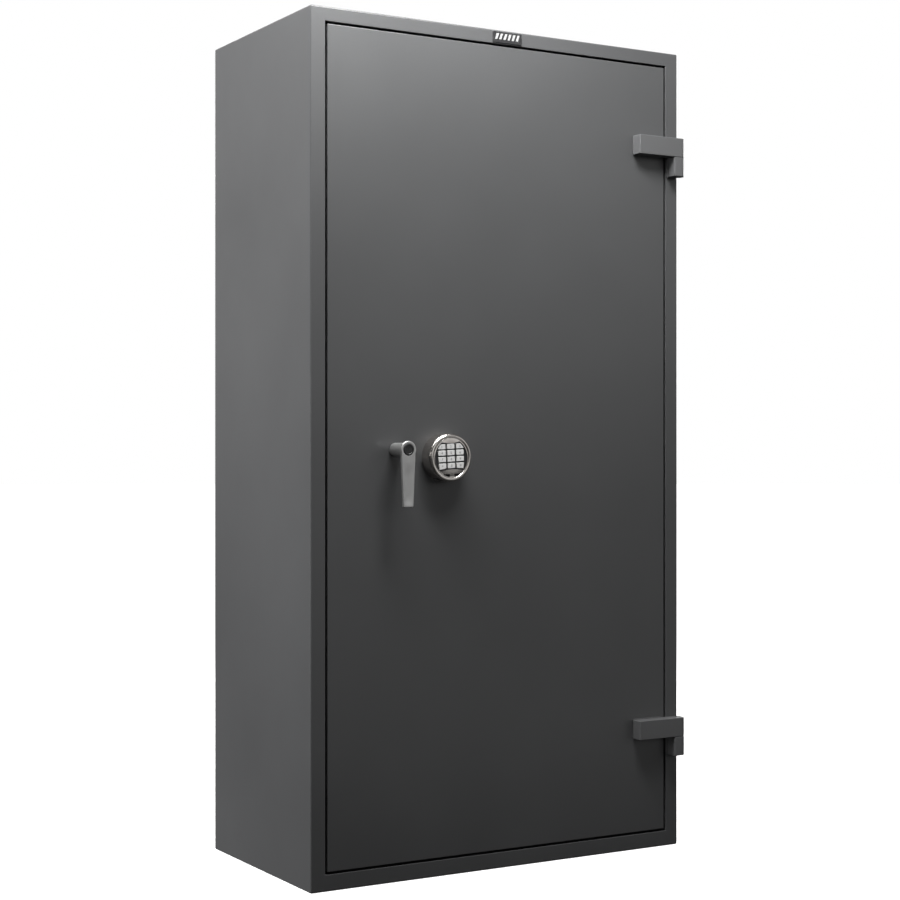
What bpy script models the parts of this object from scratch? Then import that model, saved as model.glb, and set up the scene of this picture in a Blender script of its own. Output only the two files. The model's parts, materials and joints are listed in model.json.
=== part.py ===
"""A free-standing gun safe: lined steel body, hinged door, rack-and-pinion boltwork, electronic lock.

+X is to the right seen from the front, +Y into the safe, +Z up. The origin is the middle of the
underside of the body. The door is closed and its bolts are drawn back, with the handle hanging down.
"""

import math

import bmesh
import bpy
from mathutils import Matrix, Vector

# Body
BODY_WIDTH = 0.800
BODY_DEPTH = 0.420
BODY_HEIGHT = 1.550
SHEET = 0.003
GAP = 0.0003
CASING_EDGE = 0.003
FRONT_Y = -BODY_DEPTH / 2
BACK_Y = BODY_DEPTH / 2

# Opening in the front face, and the jamb behind it
FACE_SIDE = 0.0285
FACE_TOP = 0.0255
FACE_BOTTOM = 0.0295
OPEN_HALF = BODY_WIDTH / 2 - FACE_SIDE
OPEN_LOW = FACE_BOTTOM
OPEN_HIGH = BODY_HEIGHT - FACE_TOP
STOP_Y = -0.138
STOP_WIDTH = 0.014
SEAL_WIDTH = 0.011

# Liner and fittings inside
LINER_FRONT_Y = STOP_Y + SHEET + GAP
LINER_BACK_Y = 0.1795
MAT_THICKNESS = 0.003
MAT_HOLE = 0.030
ANCHOR_X = 0.250
ANCHOR_Y = 0.030
ANCHOR_HOLE = 0.009
ANCHOR_SEAT_RADIUS = 0.025
ANCHOR_SEAT_RISE = 0.0015
SHELF_Z = 1.225
SHELF_THICKNESS = 0.016
SHELF_FRONT_Y = -0.105
SUPPORT_HEIGHT = 0.030
SUPPORT_WIDTH = 0.020
RACK_Z = 0.950
RACK_THICKNESS = 0.018
RACK_FRONT_Y = 0.094
NOTCH_COUNT = 7
NOTCH_PITCH = 0.097
NOTCH_RADIUS = 0.0225
NOTCH_DEPTH = 0.052

# Door
DOOR_GAP = 0.0045
DOOR_HALF = OPEN_HALF - DOOR_GAP
DOOR_LOW = OPEN_LOW + DOOR_GAP
DOOR_HIGH = OPEN_HIGH - DOOR_GAP
DOOR_PLATE = 0.004
DOOR_BACK_Y = -0.148
DOOR_EDGE = 0.0012
FILLING_BACK_Y = -0.1837
HARD_PLATE = 0.003
COVER_Y = -0.151
COVER_THICKNESS = 0.002

# Hinges: a strap on the door turns on a pin above a knuckle on the body
PIVOT_X = 0.3915
PIVOT_Y = -0.2225
HINGE_RADIUS = 0.0122
ARM_LEFT_X = 0.292
KNUCKLE_LEFT_X = 0.375
KNUCKLE_HEIGHT = 0.037
HINGE_LOW_Z = (0.178, 1.307)
HINGE_NAMES = ("lower", "upper")
PIN_RADIUS = 0.0060
PIN_BORE = 0.0063

# Boltwork
BOLT_Y = -0.162
BOLT_RADIUS = 0.010
BOLT_TIP_X = -0.3655
BOLT_LENGTH = 0.0625
BOLT_STUB = 0.004
BOLT_Z = (0.250, 0.600, 0.950, 1.300)
BOLT_CHAMFER = 0.002
JAMB_BOLT_HOLE = 0.0125
DOG_TIP_X = 0.380
DOG_LENGTH = 0.045
DOG_Z = (0.400, 0.775, 1.150)
JAMB_DOG_HOLE = 0.0135
SLIDE_CLEARANCE = 0.0004
CARRIAGE_LEFT_X = BOLT_TIP_X + BOLT_LENGTH + GAP
CARRIAGE_FLANGE = 0.004
CARRIAGE_WEB_X = -0.269
CARRIAGE_BACK_Y = -0.153
CARRIAGE_OVERHANG = 0.025
POCKET_DEPTH = 0.0185

# Handle, its spindle and the pinion on it
HANDLE_X = -0.232
HANDLE_Z = 0.774
HANDLE_FRONT_Y = FRONT_Y - 0.050
BLADE_THICKNESS = 0.0065
HEAD_RADIUS = 0.0154
BLADE_TOP_HALF = 0.0139
BLADE_TIP_HALF = 0.0104
BLADE_TIP_DROP = 0.1025
NECK_RADIUS = 0.012
NECK_HEAD_RADIUS = 0.0135
CAP_RADIUS = 0.0106
CAP_RECESS = 0.003
SPINDLE_HALF = 0.005
SPINDLE_BACK_Y = -0.1595
BUSH_RADIUS = 0.0115
BUSH_BORE = 0.0075

# Gear teeth, shared by the pinion and the three racks
MODULE = 0.002
PINION_TEETH = 16
PITCH_RADIUS = MODULE * PINION_TEETH / 2
PRESSURE_ANGLE = math.radians(20)
PINION_ADDENDUM = 0.0019
RACK_ADDENDUM = 0.0018
DEDENDUM = 0.0025
BACKLASH = 0.0004
PINION_Y = (-0.1795, SPINDLE_BACK_Y)
FRONT_LEVEL_Y = (-0.179, -0.171)
REAR_LEVEL_Y = (-0.168, -0.160)
RACK_BACKING = 0.013
NOSE_X = -0.1653
ROD_TIP_RECESS = 0.0015
ROD_END_RADIUS = 0.009
ROD_END_LENGTH = 0.078
JAMB_ROD_HOLE = 0.0115
TOP_ROD_X = HANDLE_X - PITCH_RADIUS - DEDENDUM - RACK_BACKING / 2
BOTTOM_ROD_X = HANDLE_X + PITCH_RADIUS + DEDENDUM + RACK_BACKING / 2

# Electronic lock behind the keypad
LOCK_LOW = Vector((-0.196, -0.180, 0.759))
LOCK_HIGH = Vector((-0.108, -0.153, 0.821))
LOCK_PIVOT_X = -0.186
LOCK_PIVOT_Z = 0.772
FINGER_LENGTH = 0.024
FINGER_HALF = 0.0035
FINGER_BOSS = 0.005
TRUNNION_RADIUS = 0.0027

# Keypad: distances out from the door plate, and a right-up frame turned a little on the door
KEYPAD_X = -0.1337
KEYPAD_Z = 0.7596
KEYPAD_TURN = math.radians(3)
KEYPAD_RADIUS = 0.044
KEYPAD_WALL = 0.003
KEYPAD_RIM_HEIGHT = 0.0322
KEYPAD_SHOULDER = 0.0250
FIELD_RADIUS = 0.0340
FACE_BACK = 0.0265
FACE_FRONT = 0.0293
BASE_THICKNESS = 0.005
LENS_RADIUS = 0.078
WINDOW_INNER = 0.0055
WINDOW_TOP = -0.0294
FIELD_TOP = 0.0262
FIELD_BOTTOM = -0.0209
KEY_PITCH_X = 0.0188
KEY_PITCH_Z = 0.0116
KEY_HALF_WIDTH = 0.00765
KEY_HALF_HEIGHT = 0.0045
KEY_GRID_Z = 0.0030
KEY_BACK = 0.0262
KEY_FRONT = 0.0312
KEY_NAMES = (
    ("key_1", "key_2", "key_3"),
    ("key_4", "key_5", "key_6"),
    ("key_7", "key_8", "key_9"),
    ("key_star", "key_0", "key_hash"),
)
DRAWER_HALF = 0.0255
DRAWER_TOP = -0.004
DRAWER_DEPTH = (0.0058, 0.0248)
DRAWER_WALL = 0.0012
BATTERY_SIZE = (0.0485, 0.0265, 0.0172)
BATTERY_BOTTOM = -0.0320
CABLE_RADIUS = 0.002
CABLE_HOLE = 0.004
CABLE_RISE = 0.026

PARTS = None
TOOLS = None
FINISHES = {}


def start_empty_scene():
    """Remove what the scene holds and make the collections for the parts and the cutters."""
    global PARTS, TOOLS
    for obj in list(bpy.data.objects):
        bpy.data.objects.remove(obj, do_unlink=True)
    PARTS = bpy.data.collections.new("gun_safe")
    TOOLS = bpy.data.collections.new("cutters")
    bpy.context.scene.collection.children.link(PARTS)
    bpy.context.scene.collection.children.link(TOOLS)


def finish(name, colour, roughness, metallic=0.0):
    """Return the named material, made on first use."""
    if name not in FINISHES:
        made = bpy.data.materials.new(name)
        made.use_nodes = True
        shader = made.node_tree.nodes["Principled BSDF"]
        shader.inputs["Base Color"].default_value = (*colour, 1.0)
        shader.inputs["Roughness"].default_value = roughness
        shader.inputs["Metallic"].default_value = metallic
        FINISHES[name] = made
    return FINISHES[name]


def paint():
    return finish("anthracite_paint", (0.055, 0.058, 0.062), 0.45)


def bright_steel():
    return finish("bright_steel", (0.55, 0.55, 0.56), 0.30, 1.0)


def zinc_steel():
    return finish("zinc_steel", (0.48, 0.49, 0.50), 0.42, 1.0)


def chrome():
    return finish("satin_chrome", (0.66, 0.66, 0.67), 0.18, 1.0)


def cast_aluminium():
    return finish("cast_aluminium", (0.62, 0.62, 0.61), 0.35, 0.9)


def black_plastic():
    return finish("black_plastic", (0.012, 0.012, 0.013), 0.40)


def black_rubber():
    return finish("black_rubber", (0.020, 0.020, 0.021), 0.75)


def concrete():
    return finish("fire_filling", (0.42, 0.40, 0.37), 0.90)


def felt():
    return finish("grey_felt", (0.10, 0.10, 0.11), 0.95)


# Building blocks


def add_box(work, low, high):
    """Add a box between two corners."""
    low, high = Vector(low), Vector(high)
    place = Matrix.Translation((low + high) / 2) @ Matrix.Diagonal((*(high - low), 1.0))
    bmesh.ops.create_cube(work, size=1.0, matrix=place)


def add_rod(work, start, end, radius, sides=24):
    """Add a closed cylinder between two points."""
    start, end = Vector(start), Vector(end)
    along = end - start
    turn = along.to_track_quat("Z", "Y").to_matrix().to_4x4()
    place = Matrix.Translation((start + end) / 2) @ turn
    bmesh.ops.create_cone(
        work,
        cap_ends=True,
        segments=sides,
        radius1=radius,
        radius2=radius,
        depth=along.length,
        matrix=place,
    )


def to_mesh(work, name):
    """Turn a bmesh into a mesh and free it."""
    mesh = bpy.data.meshes.new(name)
    work.to_mesh(mesh)
    work.free()
    return mesh


def place_part(name, mesh, material, origin=(0, 0, 0), parent=None, turn=(0, 0, 0)):
    """Put a mesh in the parts' collection at its origin, under its parent."""
    obj = bpy.data.objects.new(name, mesh)
    obj.location = origin
    obj.rotation_euler = turn
    PARTS.objects.link(obj)
    obj.data.materials.append(material)
    if parent is not None:
        obj.parent = parent
        if parent.name != "keypad_frame":
            obj.matrix_parent_inverse = Matrix.Translation(parent.location).inverted()
    return obj


def solid(name, work, material, origin, parent=None):
    """Make a part from a bmesh built in world places, with its origin at a chosen point."""
    bmesh.ops.translate(work, verts=work.verts, vec=-Vector(origin))
    return place_part(name, to_mesh(work, name), material, origin, parent)


def block(name, low, high, material, parent=None):
    """Make a box-shaped part with its origin in its middle."""
    work = bmesh.new()
    add_box(work, low, high)
    return solid(name, work, material, (Vector(low) + Vector(high)) / 2, parent)


def tool(name, mesh, parent=None, origin=(0, 0, 0), turn=(0, 0, 0)):
    """Make a cutter or a piece to be joined on, which isn't a part itself."""
    obj = bpy.data.objects.new(name, mesh)
    obj.location = origin
    obj.rotation_euler = turn
    obj.parent = parent
    obj.hide_render = True
    obj.display_type = "WIRE"
    TOOLS.objects.link(obj)
    return obj


def combine(obj, other, operation):
    """Add a Boolean of another object to a part."""
    boolean = obj.modifiers.new(operation.lower(), "BOOLEAN")
    boolean.operation = operation
    boolean.solver = "EXACT"
    boolean.object = other


def cut_boxes(obj, boxes, parent=None):
    """Cut boxes, given by their corners, out of a part."""
    for low, high in boxes:
        work = bmesh.new()
        add_box(work, low, high)
        combine(obj, tool(obj.name + "_box", to_mesh(work, "box"), parent), "DIFFERENCE")


def cut_rods(obj, rods, parent=None):
    """Cut round holes, given as start, end and radius, out of a part."""
    for start, end, radius in rods:
        work = bmesh.new()
        add_rod(work, start, end, radius)
        combine(obj, tool(obj.name + "_hole", to_mesh(work, "hole"), parent), "DIFFERENCE")


def round_edges(obj, width, segments=1, angle=40):
    """Round the edges of a part that are sharper than an angle in degrees."""
    bevel = obj.modifiers.new("edges", "BEVEL")
    bevel.width = width
    bevel.segments = segments
    bevel.limit_method = "ANGLE"
    bevel.angle_limit = math.radians(angle)


def arc(centre, radius, first, last, count):
    """Points along an arc, angles in degrees."""
    points = []
    for step in range(count + 1):
        angle = math.radians(first + (last - first) * step / count)
        points.append((centre[0] + radius * math.cos(angle), centre[1] + radius * math.sin(angle)))
    return points


def outline_mesh(name, outline, thickness):
    """A flat outline given a thickness, half each side of its plane, as a closed mesh."""
    curve = bpy.data.curves.new(name, "CURVE")
    curve.dimensions = "2D"
    curve.fill_mode = "BOTH"
    curve.extrude = thickness / 2
    line = curve.splines.new("POLY")
    line.points.add(len(outline) - 1)
    for point, (x, y) in zip(line.points, outline):
        point.co = (x, y, 0.0, 1.0)
    line.use_cyclic_u = True
    guide = bpy.data.objects.new(name, curve)
    bpy.context.scene.collection.objects.link(guide)
    seen = guide.evaluated_get(bpy.context.evaluated_depsgraph_get())
    mesh = bpy.data.meshes.new_from_object(seen)
    bpy.data.objects.remove(guide, do_unlink=True)
    work = bmesh.new()
    work.from_mesh(mesh)
    bmesh.ops.remove_doubles(work, verts=work.verts, dist=0.00001)
    bmesh.ops.dissolve_limit(work, angle_limit=0.001, verts=work.verts, edges=work.edges)
    bmesh.ops.recalc_face_normals(work, faces=work.faces)
    work.to_mesh(mesh)
    work.free()
    return mesh


def turned_object(name, profile, steps):
    """A profile of radius and height, top to bottom on its outer side, spun about local Z."""
    work = bmesh.new()
    points = [work.verts.new((radius, 0.0, height)) for radius, height in profile]
    for first, second in zip(points, points[1:]):
        work.edges.new((first, second))
    if profile[0][0] > 0:
        work.edges.new((points[-1], points[0]))
    obj = bpy.data.objects.new(name, to_mesh(work, name))
    screw = obj.modifiers.new("turned", "SCREW")
    screw.steps = steps
    screw.render_steps = steps
    screw.use_merge_vertices = True
    screw.merge_threshold = 0.00001
    return obj


def turned_mesh(name, profile, steps=24):
    """The closed mesh of a turned profile."""
    guide = turned_object(name, profile, steps)
    bpy.context.scene.collection.objects.link(guide)
    seen = guide.evaluated_get(bpy.context.evaluated_depsgraph_get())
    mesh = bpy.data.meshes.new_from_object(seen)
    bpy.data.objects.remove(guide, do_unlink=True)
    return mesh


def lift(mesh, height):
    """Move a mesh up its own Z."""
    mesh.transform(Matrix.Translation((0.0, 0.0, height)))
    return mesh


def smooth(obj, angle=35):
    """Shade a round part smooth, with its corners kept sharp."""
    obj.data.shade_smooth()
    obj.data.set_sharp_from_angle(angle=math.radians(angle))
    return obj


def pin_profile(radius, low, high, low_chamfer, high_chamfer):
    """A cylinder with chamfered ends, as a profile to be turned."""
    return [
        (0.0, high),
        (radius - high_chamfer, high),
        (radius, high - high_chamfer),
        (radius, low + low_chamfer),
        (radius - low_chamfer, low),
        (0.0, low),
    ]


def upright(outline_object):
    """Turn a part drawn in local X and Y so that it stands in world X and Z."""
    outline_object.rotation_euler = (math.pi / 2, 0.0, 0.0)
    return outline_object


def empty(name, location, parent=None):
    """An axis for the pieces of one body to turn or slide on."""
    obj = bpy.data.objects.new(name, None)
    obj.location = location
    PARTS.objects.link(obj)
    if parent is not None:
        obj.parent = parent
        obj.matrix_parent_inverse = Matrix.Translation(parent.location).inverted()
    return obj


# Body


def inner_box(half, low, high, front, back):
    """Corners of a box that is symmetric in X."""
    return (-half, front, low), (half, back, high)


def anchor_rods(low, high, radius):
    """The two floor-anchor holes between two heights."""
    return [((x, ANCHOR_Y, low), (x, ANCHOR_Y, high), radius) for x in (-ANCHOR_X, ANCHOR_X)]


def make_outer_casing():
    casing = block(
        "outer_casing",
        (-BODY_WIDTH / 2, FRONT_Y, 0.0),
        (BODY_WIDTH / 2, BACK_Y, BODY_HEIGHT),
        paint(),
    )
    round_edges(casing, CASING_EDGE, 2)
    half = BODY_WIDTH / 2 - SHEET
    inside = inner_box(half, SHEET, BODY_HEIGHT - SHEET, FRONT_Y + SHEET, BACK_Y + SHEET)
    opening = inner_box(OPEN_HALF, OPEN_LOW, OPEN_HIGH, FRONT_Y - SHEET, 0.0)
    cut_boxes(casing, [inside, opening])
    cut_rods(casing, anchor_rods(-SHEET, 2 * SHEET, ANCHOR_HOLE))


def make_rear_panel():
    half = BODY_WIDTH / 2 - SHEET - GAP
    low, high = inner_box(half, SHEET + GAP, BODY_HEIGHT - SHEET - GAP, BACK_Y - SHEET, BACK_Y)
    block("rear_panel", low, high, paint())


def make_wall_filling():
    """Fire-resisting filling between casing and liner, with room for the thrown bolts."""
    half = BODY_WIDTH / 2 - SHEET - GAP
    bottom, top = SHEET + GAP, BODY_HEIGHT - SHEET - GAP
    low, high = inner_box(half, bottom, top, FRONT_Y + SHEET + GAP, BACK_Y - SHEET - GAP)
    filling = block("wall_filling", low, high, concrete())
    reach = SHEET + GAP
    cavity = inner_box(
        OPEN_HALF + reach,
        OPEN_LOW - reach,
        OPEN_HIGH + reach,
        FRONT_Y,
        LINER_BACK_Y + reach,
    )
    pocket_front, pocket_back = BOLT_Y - 0.016, BOLT_Y + 0.016
    pocket_half = OPEN_HALF + SHEET + POCKET_DEPTH
    sides = inner_box(pocket_half, BOLT_Z[0] - 0.05, BOLT_Z[-1] + 0.05, pocket_front, pocket_back)
    ends = (
        (TOP_ROD_X - 0.02, pocket_front, 0.009),
        (BOTTOM_ROD_X + 0.02, pocket_back, BODY_HEIGHT - 0.0048),
    )
    cut_boxes(filling, [cavity, sides, ends])
    cut_rods(filling, anchor_rods(0.0, OPEN_LOW, ANCHOR_HOLE))


def make_inner_liner():
    reach = SHEET
    low, high = inner_box(
        OPEN_HALF + reach,
        OPEN_LOW - reach,
        OPEN_HIGH + reach,
        LINER_FRONT_Y,
        LINER_BACK_Y + reach,
    )
    liner = block("inner_liner", low, high, felt())
    inside = inner_box(OPEN_HALF, OPEN_LOW, OPEN_HIGH, LINER_FRONT_Y - SHEET, LINER_BACK_Y)
    cut_boxes(liner, [inside])
    top = OPEN_LOW + ANCHOR_SEAT_RISE
    for start, end, radius in anchor_rods(OPEN_LOW - SHEET / 2, top, ANCHOR_SEAT_RADIUS):
        work = bmesh.new()
        add_rod(work, start, end, radius)
        combine(liner, tool("anchor_seat", to_mesh(work, "anchor_seat")), "UNION")
    cut_rods(liner, anchor_rods(OPEN_LOW - 2 * SHEET, OPEN_LOW + SHEET, ANCHOR_HOLE))


def make_door_frame():
    """The jamb that the bolts enter, with the stop that carries the seal."""
    reach = SHEET
    front = FRONT_Y + SHEET + GAP
    low, high = inner_box(
        OPEN_HALF + reach, OPEN_LOW - reach, OPEN_HIGH + reach, front, STOP_Y + SHEET
    )
    frame = block("door_frame", low, high, paint())
    inside = inner_box(OPEN_HALF, OPEN_LOW, OPEN_HIGH, FRONT_Y, STOP_Y)
    stop = inner_box(
        OPEN_HALF - STOP_WIDTH,
        OPEN_LOW + STOP_WIDTH,
        OPEN_HIGH - STOP_WIDTH,
        FRONT_Y,
        0.0,
    )
    cut_boxes(frame, [inside, stop])
    inner, outer = OPEN_HALF - SHEET, OPEN_HALF + 2 * SHEET
    holes = [((-outer, BOLT_Y, z), (-inner, BOLT_Y, z), JAMB_BOLT_HOLE) for z in BOLT_Z]
    holes += [((inner, BOLT_Y, z), (outer, BOLT_Y, z), JAMB_DOG_HOLE) for z in DOG_Z]
    rod_y = sum(REAR_LEVEL_Y) / 2
    above = (OPEN_HIGH - SHEET, OPEN_HIGH + 2 * SHEET)
    below = (OPEN_LOW - 2 * SHEET, OPEN_LOW + SHEET)
    for x, (start, end) in ((TOP_ROD_X, above), (BOTTOM_ROD_X, below)):
        holes.append(((x, rod_y, start), (x, rod_y, end), JAMB_ROD_HOLE))
    cut_rods(frame, holes)


def make_door_seal():
    margin = 0.0015
    low, high = inner_box(
        OPEN_HALF - margin,
        OPEN_LOW + margin,
        OPEN_HIGH - margin,
        DOOR_BACK_Y + GAP,
        STOP_Y - GAP,
    )
    seal = block("door_seal", low, high, black_rubber())
    inset = margin + SEAL_WIDTH
    inside = inner_box(
        OPEN_HALF - inset, OPEN_LOW + inset, OPEN_HIGH - inset, FRONT_Y, 0.0
    )
    cut_boxes(seal, [inside])


def make_name_plate():
    plate = block(
        "name_plate",
        (-0.027, FRONT_Y - GAP - 0.0016, 1.5267),
        (0.036, FRONT_Y - GAP, 1.5465),
        black_plastic(),
    )
    round_edges(plate, 0.0005)


def hinge_outline(left):
    """Plan of a strap or knuckle: square at its left end, round about the pin at its right."""
    front, back = PIVOT_Y - HINGE_RADIUS, PIVOT_Y + HINGE_RADIUS
    points = [(left, back), (left, front)]
    points += arc((PIVOT_X, PIVOT_Y), HINGE_RADIUS, -90, 90, 14)
    return [(x - PIVOT_X, y - PIVOT_Y) for x, y in points]


def make_hinge_block(name, left, low, high, parent=None):
    """A strap or knuckle with its bore on the pin's axis."""
    mesh = outline_mesh(name, hinge_outline(left), high - low)
    origin = (PIVOT_X, PIVOT_Y, (low + high) / 2)
    piece = place_part(name, mesh, paint(), origin, parent)
    round_edges(piece, 0.0006, 1, 60)
    cut_rods(
        piece,
        [((PIVOT_X, PIVOT_Y, low - 0.01), (PIVOT_X, PIVOT_Y, high + 0.01), PIN_BORE)],
    )
    return smooth(piece)


def make_hinge(index, door_axis):
    low = HINGE_LOW_Z[index]
    middle = low + KNUCKLE_HEIGHT
    high = middle + KNUCKLE_HEIGHT
    label = HINGE_NAMES[index]
    make_hinge_block("hinge_knuckle_" + label, KNUCKLE_LEFT_X, low, middle - GAP / 2)
    make_hinge_block("hinge_strap_" + label, ARM_LEFT_X, middle + GAP / 2, high, door_axis)
    profile = pin_profile(PIN_RADIUS, low + 0.001, high - 0.0005, 0.0006, 0.0006)
    mesh = lift(turned_mesh("hinge_pin_" + label, profile), -middle)
    pin = place_part("hinge_pin_" + label, mesh, bright_steel(), (PIVOT_X, PIVOT_Y, middle))
    smooth(pin)


# Inside


def make_shelf():
    block(
        "shelf",
        (-OPEN_HALF + 0.001, SHELF_FRONT_Y, SHELF_Z),
        (OPEN_HALF - 0.001, LINER_BACK_Y - 0.001, SHELF_Z + SHELF_THICKNESS),
        felt(),
    )
    for side, label in ((-1, "left"), (1, "right")):
        outer = side * (OPEN_HALF - GAP)
        inner = side * (OPEN_HALF - GAP - SUPPORT_WIDTH)
        make_shelf_support("shelf_support_" + label, outer, inner)


def make_shelf_support(name, outer, inner):
    """An angle under one end of the shelf, screwed to the liner's side."""
    top = SHELF_Z - GAP
    thick = math.copysign(0.002, inner - outer)
    section = [
        (outer, top),
        (inner, top),
        (inner, top - 0.002),
        (outer + thick, top - 0.002),
        (outer + thick, top - SUPPORT_HEIGHT),
        (outer, top - SUPPORT_HEIGHT),
    ]
    front, back = SHELF_FRONT_Y + 0.01, LINER_BACK_Y - 0.01
    centre = ((outer + inner) / 2, (front + back) / 2, top - SUPPORT_HEIGHT / 2)
    outline = [(x - centre[0], z - centre[2]) for x, z in section]
    mesh = outline_mesh(name, outline, back - front)
    upright(place_part(name, mesh, zinc_steel(), centre))


def make_barrel_rack():
    """A board on the back wall with round-ended notches, open to the front, for the barrels."""
    half = OPEN_HALF - 0.003
    back = LINER_BACK_Y - GAP
    outline = [(half, back), (-half, back), (-half, RACK_FRONT_Y)]
    notch_back = RACK_FRONT_Y + NOTCH_DEPTH - NOTCH_RADIUS
    for index in range(NOTCH_COUNT):
        x = (index - (NOTCH_COUNT - 1) / 2) * NOTCH_PITCH
        outline.append((x - NOTCH_RADIUS, RACK_FRONT_Y))
        outline += arc((x, notch_back), NOTCH_RADIUS, 180, 0, 10)
        outline.append((x + NOTCH_RADIUS, RACK_FRONT_Y))
    outline.append((half, RACK_FRONT_Y))
    centre_y = (RACK_FRONT_Y + back) / 2
    outline = [(x, y - centre_y) for x, y in outline]
    mesh = outline_mesh("barrel_rack", outline, RACK_THICKNESS)
    place_part("barrel_rack", mesh, felt(), (0.0, centre_y, RACK_Z + RACK_THICKNESS / 2))


def make_floor_mat():
    low, high = inner_box(
        OPEN_HALF - 0.001,
        OPEN_LOW + GAP,
        OPEN_LOW + GAP + MAT_THICKNESS,
        LINER_FRONT_Y + 0.001,
        LINER_BACK_Y - 0.001,
    )
    mat = block("floor_mat", low, high, felt())
    cut_rods(mat, anchor_rods(OPEN_LOW - SHEET, OPEN_LOW + 3 * SHEET, MAT_HOLE))


def make_anchor_plugs():
    """Plugs, flush in the floor-anchor holes, that stay there until the safe is bolted down."""
    head = ANCHOR_HOLE - GAP
    top = ANCHOR_SEAT_RISE - GAP
    profile = [
        (0.0, top),
        (head - 0.0006, top),
        (head, top - 0.0006),
        (head, -SHEET),
        (head - 0.001, -0.012),
        (0.0, -0.012),
    ]
    for x, label in ((-ANCHOR_X, "left"), (ANCHOR_X, "right")):
        mesh = turned_mesh("anchor_plug_" + label, profile, 20)
        plug = place_part(
            "anchor_plug_" + label, mesh, black_plastic(), (x, ANCHOR_Y, OPEN_LOW)
        )
        smooth(plug)


# Door


def make_door_skin(door_axis):
    """The folded door plate: a flat front with flanges turned back on all four sides."""
    low, high = inner_box(DOOR_HALF, DOOR_LOW, DOOR_HIGH, FRONT_Y, DOOR_BACK_Y)
    skin = block("door_skin", low, high, paint(), door_axis)
    round_edges(skin, DOOR_EDGE, 2)
    inside = inner_box(
        DOOR_HALF - SHEET,
        DOOR_LOW + SHEET,
        DOOR_HIGH - SHEET,
        FRONT_Y + DOOR_PLATE,
        DOOR_BACK_Y + SHEET,
    )
    cut_boxes(skin, [inside])
    hole = BOLT_RADIUS + SLIDE_CLEARANCE
    inner, outer = DOOR_HALF - 2 * SHEET, DOOR_HALF + SHEET
    holes = [((-outer, BOLT_Y, z), (-inner, BOLT_Y, z), hole) for z in BOLT_Z]
    holes += [((inner, BOLT_Y, z), (outer, BOLT_Y, z), hole) for z in DOG_Z]
    rod_y = sum(REAR_LEVEL_Y) / 2
    rod_hole = ROD_END_RADIUS + SLIDE_CLEARANCE
    above = (DOOR_HIGH - 2 * SHEET, DOOR_HIGH + SHEET)
    below = (DOOR_LOW - SHEET, DOOR_LOW + 2 * SHEET)
    for x, (start, end) in ((TOP_ROD_X, above), (BOTTOM_ROD_X, below)):
        holes.append(((x, rod_y, start), (x, rod_y, end), rod_hole))
    cut_rods(skin, holes + front_holes(FRONT_Y - SHEET, FRONT_Y + 2 * SHEET))


def front_holes(front, back):
    """The bush hole and the lock cable's hole, between two depths."""
    cable_x, cable_z = cable_place()
    return [
        ((HANDLE_X, front, HANDLE_Z), (HANDLE_X, back, HANDLE_Z), BUSH_RADIUS + GAP),
        ((cable_x, front, cable_z), (cable_x, back, cable_z), CABLE_HOLE),
    ]


def cable_place():
    """Where the lock cable passes through the door, in world X and Z."""
    return (
        KEYPAD_X - CABLE_RISE * math.sin(KEYPAD_TURN),
        KEYPAD_Z + CABLE_RISE * math.cos(KEYPAD_TURN),
    )


def door_layer(name, front, back, material, door_axis):
    """A flat layer that fills the door from flange to flange."""
    low, high = inner_box(
        DOOR_HALF - SHEET - GAP, DOOR_LOW + SHEET + GAP, DOOR_HIGH - SHEET - GAP, front, back
    )
    return block(name, low, high, material, door_axis)


def make_door_layers(door_axis):
    front = FRONT_Y + DOOR_PLATE + GAP
    filling = door_layer("door_filling", front, FILLING_BACK_Y, concrete(), door_axis)
    cut_rods(filling, front_holes(FRONT_Y, FILLING_BACK_Y + SHEET))
    plate_front = FILLING_BACK_Y + GAP
    plate = block(
        "hard_plate",
        (-0.300, plate_front, 0.650),
        (-0.060, plate_front + HARD_PLATE, 0.900),
        zinc_steel(),
        door_axis,
    )
    cut_rods(plate, front_holes(FILLING_BACK_Y - SHEET, plate_front + 2 * HARD_PLATE))
    door_layer("boltwork_cover", COVER_Y, COVER_Y + COVER_THICKNESS, paint(), door_axis)


def bolt_mesh(name, length, stub):
    """A round bolt lying along local Z with its tip at the top, and a stub at its foot if asked."""
    profile = pin_profile(BOLT_RADIUS, -length, 0.0, 0.0005, BOLT_CHAMFER)
    if stub > 0:
        profile[-1:] = [(0.004, -length), (0.004, -length - stub), (0.0, -length - stub)]
    return turned_mesh(name, profile)


def make_fixed_dogs(door_axis):
    """Fixed bolts on the hinge side, which hold that edge if the hinges are cut."""
    for index, z in enumerate(DOG_Z):
        name = "fixed_dog_" + str(index + 1)
        mesh = bolt_mesh(name, DOG_LENGTH, 0.0)
        turn = (0.0, math.pi / 2, 0.0)
        smooth(
            place_part(name, mesh, bright_steel(), (DOG_TIP_X, BOLT_Y, z), door_axis, turn)
        )


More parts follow.
